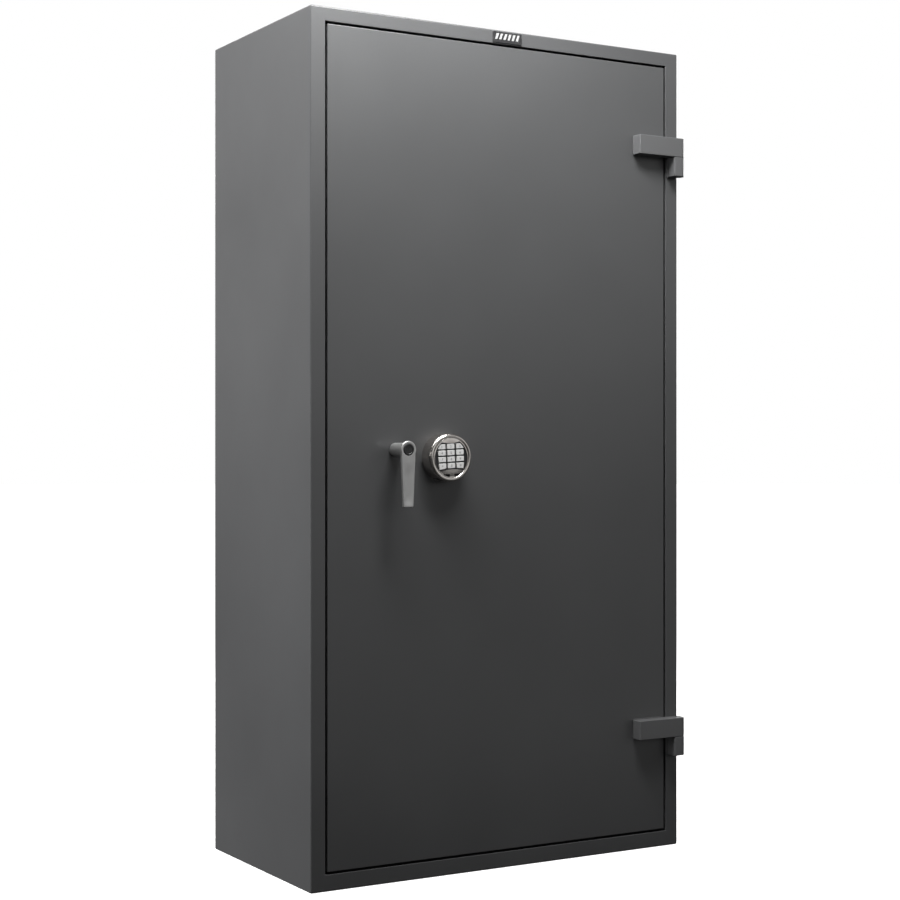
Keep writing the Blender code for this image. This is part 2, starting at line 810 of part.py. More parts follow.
def make_lock(door_axis):
    case = block("lock_case", LOCK_LOW, LOCK_HIGH, zinc_steel(), door_axis)
    slot_low = (
        LOCK_LOW.x - 0.001,
        LOCK_LOW.y - 0.001,
        LOCK_LOW.z - 0.001,
    )
    slot_high = (
        LOCK_PIVOT_X + FINGER_LENGTH + 0.0015,
        FRONT_LEVEL_Y[1] + GAP,
        LOCK_PIVOT_Z + FINGER_BOSS + 0.0005,
    )
    cut_boxes(case, [(slot_low, slot_high)])
    pivot = (LOCK_PIVOT_X, LOCK_PIVOT_Z)
    start = (pivot[0], FRONT_LEVEL_Y[0], pivot[1])
    end = (pivot[0], REAR_LEVEL_Y[1], pivot[1])
    cut_rods(case, [(start, end, TRUNNION_RADIUS + GAP)])
    cable_x, cable_z = cable_place()
    work = bmesh.new()
    front, back = FRONT_Y - 0.003, LOCK_LOW.y - GAP
    add_rod(work, (cable_x, front, cable_z), (cable_x, back, cable_z), CABLE_RADIUS, 16)
    middle = (cable_x, (front + back) / 2, cable_z)
    smooth(solid("lock_cable", work, black_rubber(), middle, door_axis))


def make_handle_bush(door_axis):
    work = bmesh.new()
    front, back = FRONT_Y + GAP, FILLING_BACK_Y
    add_rod(work, (HANDLE_X, front, HANDLE_Z), (HANDLE_X, back, HANDLE_Z), BUSH_RADIUS)
    middle = (HANDLE_X, (front + back) / 2, HANDLE_Z)
    bush = solid("handle_bush", work, zinc_steel(), middle, door_axis)
    start, end = (HANDLE_X, front - 0.01, HANDLE_Z), (HANDLE_X, back + 0.01, HANDLE_Z)
    cut_rods(bush, [(start, end, BUSH_BORE)])
    smooth(bush)


# Handle


def blade_outline():
    """Front view of the lever about its axis: a round head and a bar that narrows to a flat tip."""
    corner = 0.002
    points = arc((0.0, 0.0), HEAD_RADIUS, -25, 205, 20)
    points += [
        (-BLADE_TOP_HALF, -HEAD_RADIUS),
        (-BLADE_TIP_HALF, -BLADE_TIP_DROP + corner),
        (-BLADE_TIP_HALF + corner, -BLADE_TIP_DROP),
        (BLADE_TIP_HALF - corner, -BLADE_TIP_DROP),
        (BLADE_TIP_HALF, -BLADE_TIP_DROP + corner),
        (BLADE_TOP_HALF, -HEAD_RADIUS),
    ]
    return points


def make_handle_lever(handle_axis):
    mesh = outline_mesh("handle_lever", blade_outline(), BLADE_THICKNESS)
    blade_y = HANDLE_FRONT_Y + BLADE_THICKNESS / 2
    lift(mesh, -blade_y)
    lever = place_part(
        "handle_lever", mesh, cast_aluminium(), (HANDLE_X, 0.0, HANDLE_Z), handle_axis
    )
    upright(lever)
    round_edges(lever, 0.0018, 2)
    neck_start = -(FRONT_Y - GAP)
    neck_end = -(HANDLE_FRONT_Y + BLADE_THICKNESS / 2)
    profile = [
        (0.0, neck_end),
        (NECK_HEAD_RADIUS, neck_end),
        (NECK_HEAD_RADIUS, neck_end - BLADE_THICKNESS / 2 - 0.003),
        (NECK_RADIUS, neck_end - BLADE_THICKNESS / 2 - 0.012),
        (NECK_RADIUS, neck_start + 0.0008),
        (NECK_RADIUS - 0.0008, neck_start),
        (0.0, neck_start),
    ]
    upright_turn = (math.pi / 2, 0.0, 0.0)
    place = (HANDLE_X, 0.0, HANDLE_Z)
    neck = tool("lever_neck", turned_mesh("lever_neck", profile), None, place, upright_turn)
    combine(lever, neck, "UNION")
    wide = SPINDLE_HALF + GAP
    socket = (
        (HANDLE_X - wide, HANDLE_FRONT_Y + BLADE_THICKNESS, HANDLE_Z - wide),
        (HANDLE_X + wide, FRONT_Y, HANDLE_Z + wide),
    )
    cut_boxes(lever, [socket])
    front = HANDLE_FRONT_Y - 0.002
    recess_end = HANDLE_FRONT_Y + CAP_RECESS
    recess = ((HANDLE_X, front, HANDLE_Z), (HANDLE_X, recess_end, HANDLE_Z), CAP_RADIUS + GAP)
    cut_rods(lever, [recess])
    smooth(lever)


def make_handle_cap(handle_axis):
    back = -(HANDLE_FRONT_Y + CAP_RECESS - GAP)
    front = -(HANDLE_FRONT_Y - 0.0006)
    profile = [
        (0.0, front),
        (0.0050, front),
        (CAP_RADIUS - 0.0012, front - 0.0003),
        (CAP_RADIUS, front - 0.0013),
        (CAP_RADIUS, back),
        (0.0, back),
    ]
    mesh = turned_mesh("handle_cap", profile)
    place = (HANDLE_X, 0.0, HANDLE_Z)
    smooth(upright(place_part("handle_cap", mesh, black_plastic(), place, handle_axis)))


def make_handle_spindle(handle_axis):
    front = HANDLE_FRONT_Y + BLADE_THICKNESS + GAP
    spindle = block(
        "handle_spindle",
        (HANDLE_X - SPINDLE_HALF, front, HANDLE_Z - SPINDLE_HALF),
        (HANDLE_X + SPINDLE_HALF, SPINDLE_BACK_Y, HANDLE_Z + SPINDLE_HALF),
        bright_steel(),
        handle_axis,
    )
    round_edges(spindle, 0.0004)


def involute(angle):
    return math.tan(angle) - angle


def pinion_outline():
    """Involute teeth, the first centred on the local X axis, thinned by the backlash."""
    base = PITCH_RADIUS * math.cos(PRESSURE_ANGLE)
    tip = PITCH_RADIUS + PINION_ADDENDUM
    root = PITCH_RADIUS - DEDENDUM
    at_pitch = (math.pi * MODULE / 2 - BACKLASH) / (2 * PITCH_RADIUS)
    flank = []
    for radius in (root, base, (base + tip) / 2, tip):
        slope = math.acos(min(1.0, base / radius))
        flank.append((radius, at_pitch + involute(PRESSURE_ANGLE) - involute(slope)))
    points = []
    for tooth in range(PINION_TEETH):
        middle = 2 * math.pi * tooth / PINION_TEETH
        rising = [(radius, middle - half) for radius, half in flank]
        falling = [(radius, middle + half) for radius, half in reversed(flank)]
        for radius, angle in rising + falling:
            points.append((radius * math.cos(angle), radius * math.sin(angle)))
    return points


def make_handle_pinion(handle_axis):
    front, back = PINION_Y
    mesh = outline_mesh("handle_pinion", pinion_outline(), back - front)
    origin = (HANDLE_X, (front + back) / 2, HANDLE_Z)
    pinion = upright(place_part("handle_pinion", mesh, zinc_steel(), origin, handle_axis))
    wide = SPINDLE_HALF + GAP
    bore = (
        (HANDLE_X - wide, front - 0.005, HANDLE_Z - wide),
        (HANDLE_X + wide, back + 0.005, HANDLE_Z + wide),
    )
    cut_boxes(pinion, [bore])


def rack_edge(first, last):
    """A toothed edge along +X with a gap centred on zero: teeth first to last, crests at +Y."""
    pitch = math.pi * MODULE
    at_root = pitch / 4 + DEDENDUM * math.tan(PRESSURE_ANGLE)
    at_tip = pitch / 4 - RACK_ADDENDUM * math.tan(PRESSURE_ANGLE)
    points = []
    for tooth in range(first, last + 1):
        middle = pitch * (tooth + 0.5)
        points += [
            (middle - at_root, -DEDENDUM),
            (middle - at_tip, RACK_ADDENDUM),
            (middle + at_tip, RACK_ADDENDUM),
            (middle + at_root, -DEDENDUM),
        ]
    return points


# Boltwork


def make_bolt_carriage(carriage_axis):
    """A steel angle that carries the four side bolts."""
    front = FRONT_LEVEL_Y[1] + GAP
    web = front + SHEET
    flange = CARRIAGE_LEFT_X + CARRIAGE_FLANGE
    section = [
        (CARRIAGE_LEFT_X, front),
        (CARRIAGE_WEB_X, front),
        (CARRIAGE_WEB_X, web),
        (flange, web),
        (flange, CARRIAGE_BACK_Y),
        (CARRIAGE_LEFT_X, CARRIAGE_BACK_Y),
    ]
    low, high = BOLT_Z[0] - CARRIAGE_OVERHANG, BOLT_Z[-1] + CARRIAGE_OVERHANG
    origin = Vector((CARRIAGE_LEFT_X, front, (low + high) / 2))
    outline = [(x - origin.x, y - origin.y) for x, y in section]
    mesh = outline_mesh("bolt_carriage", outline, high - low)
    carriage = place_part("bolt_carriage", mesh, zinc_steel(), origin, carriage_axis)
    holes = []
    for z in BOLT_Z:
        start = (CARRIAGE_LEFT_X - SHEET, BOLT_Y, z)
        end = (flange + SHEET, BOLT_Y, z)
        holes.append((start, end, 0.004 + GAP))
    cut_rods(carriage, holes)


def make_side_bolts(carriage_axis):
    for index, z in enumerate(BOLT_Z):
        name = "side_bolt_" + str(index + 1)
        mesh = bolt_mesh(name, BOLT_LENGTH, BOLT_STUB)
        turn = (0.0, -math.pi / 2, 0.0)
        smooth(
            place_part(name, mesh, bright_steel(), (BOLT_TIP_X, BOLT_Y, z), carriage_axis, turn)
        )


def make_carriage_rack(carriage_axis):
    """The toothed bar under the pinion, whose nose the lock's finger stands in front of."""
    left = CARRIAGE_LEFT_X + CARRIAGE_FLANGE + GAP - HANDLE_X
    right = NOSE_X - HANDLE_X
    outline = [(left, -DEDENDUM - RACK_BACKING), (left, -DEDENDUM)]
    outline += rack_edge(-2, 4)
    outline += [(right, -DEDENDUM), (right, -DEDENDUM - RACK_BACKING)]
    front, back = FRONT_LEVEL_Y
    mesh = outline_mesh("carriage_rack", outline, back - front)
    origin = (HANDLE_X, (front + back) / 2, HANDLE_Z - PITCH_RADIUS)
    upright(place_part("carriage_rack", mesh, zinc_steel(), origin, carriage_axis))


def make_bolt_rod(name, side, axis):
    """A toothed rod beside the pinion with a round end: side -1 goes up, side +1 goes down."""
    pitch_x = HANDLE_X + side * PITCH_RADIUS
    tip = DOOR_HIGH - ROD_TIP_RECESS if side < 0 else DOOR_LOW + ROD_TIP_RECESS
    up = -side
    reach = abs(tip - HANDLE_Z) - ROD_END_LENGTH + 0.01
    tail = 0.044
    edge = rack_edge(-6, 1)
    outline = [(-tail, -DEDENDUM - RACK_BACKING), (-tail, -DEDENDUM)]
    outline += edge
    outline += [(reach, -DEDENDUM), (reach, -DEDENDUM - RACK_BACKING)]
    outline = [(-side * across, up * along) for along, across in outline]
    front, back = REAR_LEVEL_Y
    middle = (front + back) / 2
    mesh = outline_mesh(name, outline, back - front)
    rod = upright(place_part(name, mesh, zinc_steel(), (pitch_x, middle, HANDLE_Z), axis))
    profile = pin_profile(ROD_END_RADIUS, -ROD_END_LENGTH, 0.0, 0.0005, BOLT_CHAMFER)
    flip = (0.0, 0.0, 0.0) if side < 0 else (math.pi, 0.0, 0.0)
    rod_x = TOP_ROD_X if side < 0 else BOTTOM_ROD_X
    end = tool(name + "_end", turned_mesh(name, profile), None, (rod_x, middle, tip), flip)
    combine(rod, end, "UNION")
    smooth(rod)


def make_lock_finger(lock_axis):
    """The lock's swinging bolt, pushed flat by the rack's nose while the bolts are drawn back."""
    outline = arc((0.0, 0.0), FINGER_BOSS, 50, 310, 14)
    tip = 0.0012
    outline += [
        (FINGER_LENGTH - tip, -FINGER_HALF),
        (FINGER_LENGTH, -FINGER_HALF + tip),
        (FINGER_LENGTH, FINGER_HALF - tip),
        (FINGER_LENGTH - tip, FINGER_HALF),
    ]
    front, back = FRONT_LEVEL_Y[0] + GAP, FRONT_LEVEL_Y[1] - GAP
    mesh = outline_mesh("lock_finger", outline, back - front)
    lift(mesh, -(front + back) / 2)
    place = (LOCK_PIVOT_X, 0.0, LOCK_PIVOT_Z)
    finger = upright(place_part("lock_finger", mesh, bright_steel(), place, lock_axis))
    work = bmesh.new()
    start = (LOCK_PIVOT_X, back - 0.002, LOCK_PIVOT_Z)
    end = (LOCK_PIVOT_X, REAR_LEVEL_Y[1] - 0.0012, LOCK_PIVOT_Z)
    add_rod(work, start, end, TRUNNION_RADIUS, 20)
    combine(finger, tool("finger_trunnion", to_mesh(work, "trunnion")), "UNION")


# Keypad, drawn in its own frame: local X right, local Y up, local Z out from the door plate


def make_keypad_frame(door_axis):
    frame = empty("keypad_frame", (KEYPAD_X, FRONT_Y, KEYPAD_Z), door_axis)
    frame.rotation_mode = "ZYX"
    frame.rotation_euler = (math.pi / 2, 0.0, KEYPAD_TURN)
    return frame


def make_keypad_base(frame):
    radius = KEYPAD_RADIUS - KEYPAD_WALL - GAP
    profile = pin_profile(radius, GAP, GAP + BASE_THICKNESS, 0.0003, 0.0006)
    mesh = turned_mesh("keypad_base", profile, 36)
    base = place_part("keypad_base", mesh, black_plastic(), (0, 0, 0), frame)
    cut_rods(base, [((0, CABLE_RISE, -0.01), (0, CABLE_RISE, 0.01), CABLE_HOLE)], frame)
    smooth(base)


def housing_profile():
    """Section of the round housing: straight wall, rounded shoulder, rim and inner lip."""
    wall = KEYPAD_RADIUS - KEYPAD_WALL
    lip = FIELD_RADIUS + GAP
    crest = 0.0385
    points = [(lip, FACE_FRONT + 0.0008), (crest - 0.0015, KEYPAD_RIM_HEIGHT - 0.0004)]
    height = KEYPAD_RIM_HEIGHT - KEYPAD_SHOULDER
    for step in range(5):
        angle = math.radians(90 - 90 * step / 4)
        points.append(
            (
                crest + (KEYPAD_RADIUS - crest) * math.cos(angle),
                KEYPAD_SHOULDER + height * math.sin(angle),
            )
        )
    points += [
        (KEYPAD_RADIUS, GAP),
        (wall, GAP),
        (wall, FACE_BACK - 0.002),
        (wall - 0.002, FACE_BACK),
        (lip, FACE_BACK),
    ]
    return points


def lens_ends(edge, rim):
    """Angle where a segment's edge meets a circle about the keypad, and half the edge's own angle."""
    centre = edge + LENS_RADIUS
    meet_y = (rim**2 - LENS_RADIUS**2 + centre**2) / (2 * centre)
    meet_x = math.sqrt(rim**2 - meet_y**2)
    return math.degrees(math.atan2(meet_y, meet_x)), math.degrees(math.asin(meet_x / LENS_RADIUS))


def lens_outline(side):
    """The chrome segment above (+1) or below (-1) the key field, bulging towards the keys."""
    edge = FIELD_TOP if side > 0 else -FIELD_BOTTOM
    rim = FIELD_RADIUS + 0.002
    start, half = lens_ends(edge, rim)
    points = arc((0.0, 0.0), rim, start, 180 - start, 12)
    points += arc((0.0, edge + LENS_RADIUS), LENS_RADIUS, -90 - half, -90 + half, 8)[1:-1]
    return [(x, side * y) for x, y in points]


def window_outline(side):
    """Opening over one of the battery drawer's grips, pointed where it meets the ring."""
    reach = FIELD_RADIUS - 0.0002
    start = -math.degrees(math.acos(WINDOW_INNER / reach))
    end = math.degrees(math.asin(WINDOW_TOP / reach))
    points = arc((0.0, 0.0), reach, start, end, 8) + [(WINDOW_INNER, WINDOW_TOP)]
    return [(side * x, y) for x, y in points]


def make_keypad_housing(frame):
    mesh = turned_mesh("keypad_housing", housing_profile(), 48)
    housing = place_part("keypad_housing", mesh, chrome(), (0, 0, 0), frame)
    thickness = FACE_FRONT + 0.0002 - FACE_BACK
    for side, label in ((1, "upper"), (-1, "lower")):
        lens = outline_mesh("lens_" + label, lens_outline(side), thickness)
        lift(lens, FACE_BACK + thickness / 2)
        combine(housing, tool("lens_" + label, lens, frame), "UNION")
    half = DRAWER_HALF + GAP
    mouth = (
        (-half, -KEYPAD_RADIUS - 0.002, DRAWER_DEPTH[0] - 0.0002),
        (half, -0.020, DRAWER_DEPTH[1] + GAP),
    )
    cut_boxes(housing, [mouth], frame)
    for side in (-1, 1):
        window = outline_mesh("window", window_outline(side), 0.02)
        lift(window, FACE_FRONT)
        combine(housing, tool("window", window, frame), "DIFFERENCE")
    smooth(housing)


def key_centre(row, column):
    return (column - 1) * KEY_PITCH_X, KEY_GRID_Z + (1.5 - row) * KEY_PITCH_Z


def key_outline(row, column, grow=0.0):
    """Outline of a key about its centre; the four corner keys follow the round field."""
    wide, high = KEY_HALF_WIDTH + grow, KEY_HALF_HEIGHT + grow
    side = column - 1
    points = [(wide, -high), (wide, high), (-wide, high), (-wide, -high)]
    if row == 0 and side:
        cut = [(wide, high - 0.0075), (wide - 0.0068, high)]
        points = [(wide, -high)] + cut + [(-wide, high), (-wide, -high)]
    if row == 3 and side:
        drop = 0.0020
        points = [(wide - 0.0018, -high - drop), (wide, high), (-wide, high), (-wide, -high)]
    if side < 0:
        points = [(-x, y) for x, y in reversed(points)]
    return points


def field_outline():
    """The black field: between the two segments, and inside the ring."""
    upper, lower = FIELD_TOP - GAP, -FIELD_BOTTOM - GAP
    upper_start, upper_half = lens_ends(upper, FIELD_RADIUS)
    lower_start, lower_half = lens_ends(lower, FIELD_RADIUS)
    upper_centre, lower_centre = (0.0, upper + LENS_RADIUS), (0.0, -lower - LENS_RADIUS)
    points = arc(upper_centre, LENS_RADIUS, -90 + upper_half, -90 - upper_half, 8)
    points += arc((0.0, 0.0), FIELD_RADIUS, 180 - upper_start, 180 + lower_start, 12)[1:-1]
    points += arc(lower_centre, LENS_RADIUS, 90 + lower_half, 90 - lower_half, 8)
    points += arc((0.0, 0.0), FIELD_RADIUS, -lower_start, upper_start, 12)[1:-1]
    return points


def make_keypad_face(frame):
    """The black field between the two chrome segments, with an opening for each key."""
    thickness = FACE_FRONT - FACE_BACK
    mesh = outline_mesh("keypad_face", field_outline(), thickness)
    lift(mesh, FACE_BACK + thickness / 2)
    face = place_part("keypad_face", mesh, black_plastic(), (0, 0, 0), frame)
    for row, names in enumerate(KEY_NAMES):
        for column, name in enumerate(names):
            opening = outline_mesh(name + "_opening", key_outline(row, column, GAP), 0.02)
            u, v = key_centre(row, column)
            cutter = tool(name + "_opening", opening, frame, (u, v, FACE_BACK))
            combine(face, cutter, "DIFFERENCE")


def make_keys(frame):
    thickness = KEY_FRONT - KEY_BACK
    for row, names in enumerate(KEY_NAMES):
        for column, name in enumerate(names):
            mesh = outline_mesh(name, key_outline(row, column), thickness)
            u, v = key_centre(row, column)
            middle = (KEY_FRONT + KEY_BACK) / 2
            key = place_part(name, mesh, cast_aluminium(), (u, v, middle), frame)
            round_edges(key, 0.0004)


def make_battery_drawer(frame):
    """A tray that slides down out of the housing, round at its lower end like the housing."""
    back, front = DRAWER_DEPTH
    work = bmesh.new()
    add_rod(work, (0, 0, back), (0, 0, front), KEYPAD_RADIUS - 0.0002, 64)
    mesh = to_mesh(work, "battery_drawer")
    drawer = place_part("battery_drawer", mesh, black_plastic(), (0, 0, 0), frame)
    reach = KEYPAD_RADIUS + 0.01
    cut_boxes(
        drawer,
        [
            ((-reach, DRAWER_TOP, back - 0.01), (reach, reach, front + 0.01)),
            ((-reach, -reach, back - 0.01), (-DRAWER_HALF, reach, front + 0.01)),
            ((DRAWER_HALF, -reach, back - 0.01), (reach, reach, front + 0.01)),
        ],
        frame,
    )
    width, height, depth = BATTERY_SIZE
    pocket = (
        (-width / 2 - GAP, BATTERY_BOTTOM - GAP, back - 0.01),
        (width / 2 + GAP, reach, front - DRAWER_WALL),
    )
    cut_boxes(drawer, [pocket], frame)
    work = bmesh.new()
    low = Vector((-width / 2, BATTERY_BOTTOM, front - DRAWER_WALL - GAP - depth))
    add_box(work, low, low + Vector(BATTERY_SIZE))
    battery = place_part("battery", to_mesh(work, "battery"), zinc_steel(), (0, 0, 0), frame)
    round_edges(battery, 0.0012, 2)


def main():
    start_empty_scene()
    make_outer_casing()
    make_rear_panel()
    make_wall_filling()
    make_inner_liner()
    make_door_frame()
    make_door_seal()
    make_name_plate()
    make_shelf()
    make_barrel_rack()
    make_floor_mat()
    make_anchor_plugs()
    door_axis = empty("door_axis", (PIVOT_X, PIVOT_Y, 0.0))
    for index in range(len(HINGE_NAMES)):
        make_hinge(index, door_axis)
    make_door_skin(door_axis)
    make_door_layers(door_axis)
    make_fixed_dogs(door_axis)
    make_lock(door_axis)
    make_handle_bush(door_axis)
    handle_axis = empty("handle_axis", (HANDLE_X, 0.0, HANDLE_Z), door_axis)
    make_handle_lever(handle_axis)
    make_handle_cap(handle_axis)
    make_handle_spindle(handle_axis)
    make_handle_pinion(handle_axis)
    carriage_axis = empty("carriage_axis", (CARRIAGE_LEFT_X, BOLT_Y, HANDLE_Z), door_axis)
    make_bolt_carriage(carriage_axis)
    make_side_bolts(carriage_axis)
    make_carriage_rack(carriage_axis)
    make_bolt_rod("top_bolt_rod", -1, door_axis)
    make_bolt_rod("bottom_bolt_rod", 1, door_axis)
    make_lock_finger(door_axis)
    keypad_frame = make_keypad_frame(door_axis)
    make_keypad_base(keypad_frame)
    make_keypad_housing(keypad_frame)
    make_keypad_face(keypad_frame)
    make_keys(keypad_frame)
    make_battery_drawer(keypad_frame)


main()
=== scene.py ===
"""Looks of the gun safe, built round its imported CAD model.

Every piece is modelled in the row frame: +X to the right seen from the front, +Y into the safe, +Z up.
"""

import json
import random
from math import acos, asin, atan2, cos, degrees, hypot, pi, radians, sin, sqrt, tau

import bmesh
import bpy
from mathutils import Matrix, Vector


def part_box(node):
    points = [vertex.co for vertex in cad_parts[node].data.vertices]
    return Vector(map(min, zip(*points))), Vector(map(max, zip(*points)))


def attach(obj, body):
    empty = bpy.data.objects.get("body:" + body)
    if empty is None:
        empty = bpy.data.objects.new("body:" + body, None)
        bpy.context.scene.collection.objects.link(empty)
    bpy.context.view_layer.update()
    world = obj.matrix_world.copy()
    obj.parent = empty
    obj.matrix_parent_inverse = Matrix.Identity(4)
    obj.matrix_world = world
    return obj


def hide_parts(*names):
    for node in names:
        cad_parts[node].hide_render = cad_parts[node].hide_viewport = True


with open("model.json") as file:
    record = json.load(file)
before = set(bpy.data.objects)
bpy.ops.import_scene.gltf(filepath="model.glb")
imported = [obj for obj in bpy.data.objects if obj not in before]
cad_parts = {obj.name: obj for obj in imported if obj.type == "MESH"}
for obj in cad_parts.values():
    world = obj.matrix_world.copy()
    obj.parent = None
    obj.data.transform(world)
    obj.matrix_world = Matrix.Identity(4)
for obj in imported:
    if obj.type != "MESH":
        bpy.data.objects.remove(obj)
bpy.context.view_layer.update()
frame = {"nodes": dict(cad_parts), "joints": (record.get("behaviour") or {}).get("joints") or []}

# Camera, fitted to the body's corners
CAMERA_PLACE = Vector((-1.8062, -3.0704, 0.7704))
CAMERA_YAW = radians(30.5476)
CAMERA_PITCH = radians(0.05)
CAMERA_LENS = 73.02

# Places that the frame gives
FRONT_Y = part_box("outer_casing")[0].y
DOOR_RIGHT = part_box("door_skin")[1].x
OPEN_LOW, OPEN_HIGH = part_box("inner_liner")
JOINTS = {joint["name"]: joint for joint in frame["joints"]}
HINGE_AXIS = Vector(JOINTS["door_swing"]["pos_m"])
HANDLE_AXIS = Vector(JOINTS["handle_turn"]["pos_m"])

BODY = "safe_body"
SIDE_BOLTS = ["side_bolt_%d" % number for number in (1, 2, 3, 4)]
FIXED_DOGS = ["fixed_dog_%d" % number for number in (1, 2, 3)]

# Sizes shared by several pieces, and the radii of the holes, in metres
SHEET = 0.003
GAP = 0.0003
ANCHOR_HOLE = 0.009
PIN_BORE = 0.0063
BOLT_HOLE = 0.0104
ROD_HOLE = 0.0094
SPINDLE_HOLE = 0.0118
CABLE_HOLE = 0.004


# Materials


class Nodes:
    """A node tree, with short ways to add its nodes and link them."""

    def __init__(self, tree):
        self.tree = tree

    def node(self, kind, inputs=(), **settings):
        node = self.tree.nodes.new(kind)
        for key, value in settings.items():
            setattr(node, key, value)
        for key, value in inputs:
            self.feed(node.inputs[key], value)
        return node

    def feed(self, socket, value):
        if isinstance(value, bpy.types.NodeSocket):
            self.tree.links.new(value, socket)
        else:
            socket.default_value = value

    def calculate(self, operation, *values):
        return self.node("ShaderNodeMath", enumerate(values), operation=operation).outputs[0]


class Surface(Nodes):
    """A Principled material whose colour, roughness and relief come from nodes."""

    def __init__(self, name, **fixed):
        self.material = bpy.data.materials.new(name)
        self.material.use_nodes = True
        super().__init__(self.material.node_tree)
        self.shader = self.tree.nodes["Principled BSDF"]
        self.place = self.node("ShaderNodeTexCoord").outputs["Object"]
        self.normal = None
        for socket, value in fixed.items():
            self.shader.inputs[socket.replace("_", " ")].default_value = value

    def stretched(self, stretch):
        return self.node("ShaderNodeMapping", [("Vector", self.place), ("Scale", stretch)]).outputs[0]

    def noise(self, scale, detail=3.0, stretch=(1, 1, 1), rough=0.5):
        """A noise value from 0 to 1, with scale in features a metre."""
        inputs = [
            ("Vector", self.stretched(stretch)),
            ("Scale", scale),
            ("Detail", detail),
            ("Roughness", rough),
        ]
        return self.node("ShaderNodeTexNoise", inputs).outputs[0]

    def cells(self, scale, stretch=(1, 1, 1), feature="F1"):
        """Distance to the nearest cell point of a Voronoi pattern."""
        inputs = [("Vector", self.stretched(stretch)), ("Scale", scale)]
        return self.node("ShaderNodeTexVoronoi", inputs, feature=feature).outputs["Distance"]

    def spread(self, value, low, high, start=0.0, end=1.0):
        """Map a value's range from start to end onto low to high, and hold it there."""
        inputs = [(0, value), (1, start), (2, end), (3, low), (4, high)]
        return self.node("ShaderNodeMapRange", inputs, clamp=True).outputs[0]

    def mix(self, factor, first, second):
        """A colour between two colours."""
        inputs = [(0, factor), (6, opaque(first)), (7, opaque(second))]
        return self.node("ShaderNodeMix", inputs, data_type="RGBA").outputs[2]

    def tone(self, value, start, end, first, second):
        """The first colour where a value is at its start, and the second at its end."""
        return self.mix(self.spread(value, 0, 1, start, end), first, second)

    def edges(self, radius, start=0.995, end=0.80):
        """1 on edges sharper than the radius and 0 on flat ground."""
        bevel = self.node("ShaderNodeBevel", [("Radius", radius)], samples=4)
        ground = self.node("ShaderNodeNewGeometry").outputs["Normal"]
        inputs = [(0, bevel.outputs[0]), (1, ground)]
        same = self.node("ShaderNodeVectorMath", inputs, operation="DOT_PRODUCT").outputs["Value"]
        return self.spread(same, 0.0, 1.0, start, end)

    def relief(self, height, depth):
        """Raise the surface by a height value times a depth in metres."""
        inputs = [("Height", height), ("Distance", depth)]
        if self.normal is not None:
            inputs.append(("Normal", self.normal))
        self.normal = self.node("ShaderNodeBump", inputs).outputs[0]
        self.feed(self.shader.inputs["Normal"], self.normal)

    def bumps(self, depth, *noise):
        """Relief from a noise pattern of its own."""
        self.relief(self.noise(*noise), depth)

    def wear_and_highlight(self, body, wear_and_highlight_colour, radius, strength=1.0, **limits):
        """Colour that turns from the body's to a lighter one on edges sharper than the radius: partly edge
        wear, partly a painted highlight along the edges.
        """
        wear_and_highlight_mask = self.edges(radius, **limits)
        if strength < 1.0:
            wear_and_highlight_mask = self.calculate("MULTIPLY", wear_and_highlight_mask, strength)
        self.colour(self.mix(wear_and_highlight_mask, body, wear_and_highlight_colour))

    def colour(self, value):
        self.feed(self.shader.inputs["Base Color"], value)

    def roughness(self, scale, detail, low, high):
        """Patches of roughness from low to high, with scale in features a metre."""
        value = self.spread(self.noise(scale, detail), low, high, 0.3, 0.7)
        self.feed(self.shader.inputs["Roughness"], value)


def opaque(colour):
    """Three channels with full alpha, and a socket as it is."""
    return (*colour, 1.0) if isinstance(colour, tuple) else colour


def scaled(colour, factor):
    return tuple(min(1.0, channel * factor) for channel in colour)


def powder_coat(name, base, wear_and_highlight, gloss):
    """Satin powder coat: orange peel, fine grain, soft clouding and lighter edges, partly paint wear and
    partly a painted highlight.
    """
    skin = Surface(name, Specular_IOR_Level=0.5, Coat_Weight=0.12, Coat_Roughness=0.22)
    body = skin.tone(skin.noise(2.2, 4), 0.3, 0.7, scaled(base, 0.88), scaled(base, 1.10))
    grain = skin.noise(1500, 2)
    speckled = skin.mix(skin.spread(grain, 0, 0.22, 0.35, 0.75), body, wear_and_highlight)
    skin.wear_and_highlight(speckled, wear_and_highlight, 0.0022, 0.55)
    skin.roughness(5.5, 5, gloss - 0.035, gloss + 0.045)
    skin.bumps(0.00004, 230, 2)
    skin.relief(grain, 0.00002)
    return skin.material


def turned_steel(name, along):
    """Bright steel turned on a lathe: fine rings across its axis and light oil stains."""
    skin = Surface(name, Metallic=1.0, Specular_IOR_Level=0.5)
    stretch = tuple(1.0 if axis == along else 0.04 for axis in range(3))
    skin.colour(skin.tone(skin.noise(60, 5), 0.45, 0.75, (0.58, 0.58, 0.585), (0.44, 0.43, 0.42)))
    skin.roughness(140, 4, 0.20, 0.36)
    skin.bumps(0.00003, 2600, 2, stretch)
    return skin.material


def zinc_plate(name):
    """Zinc-plated steel: pale spangle, a faint yellow and blue cast and fine rolling marks."""
    skin = Surface(name, Metallic=1.0, Specular_IOR_Level=0.5)
    spangle = skin.cells(170)
    cast = skin.tone(skin.noise(26, 4), 0.35, 0.65, (0.53, 0.52, 0.47), (0.46, 0.49, 0.53))
    skin.colour(skin.mix(skin.spread(spangle, 0.0, 0.35, 0.1, 0.8), cast, (0.62, 0.63, 0.64)))
    skin.roughness(90, 5, 0.34, 0.52)
    skin.bumps(0.00003, 900, 3, (0.05, 1, 1))
    skin.relief(spangle, 0.00002)
    return skin.material


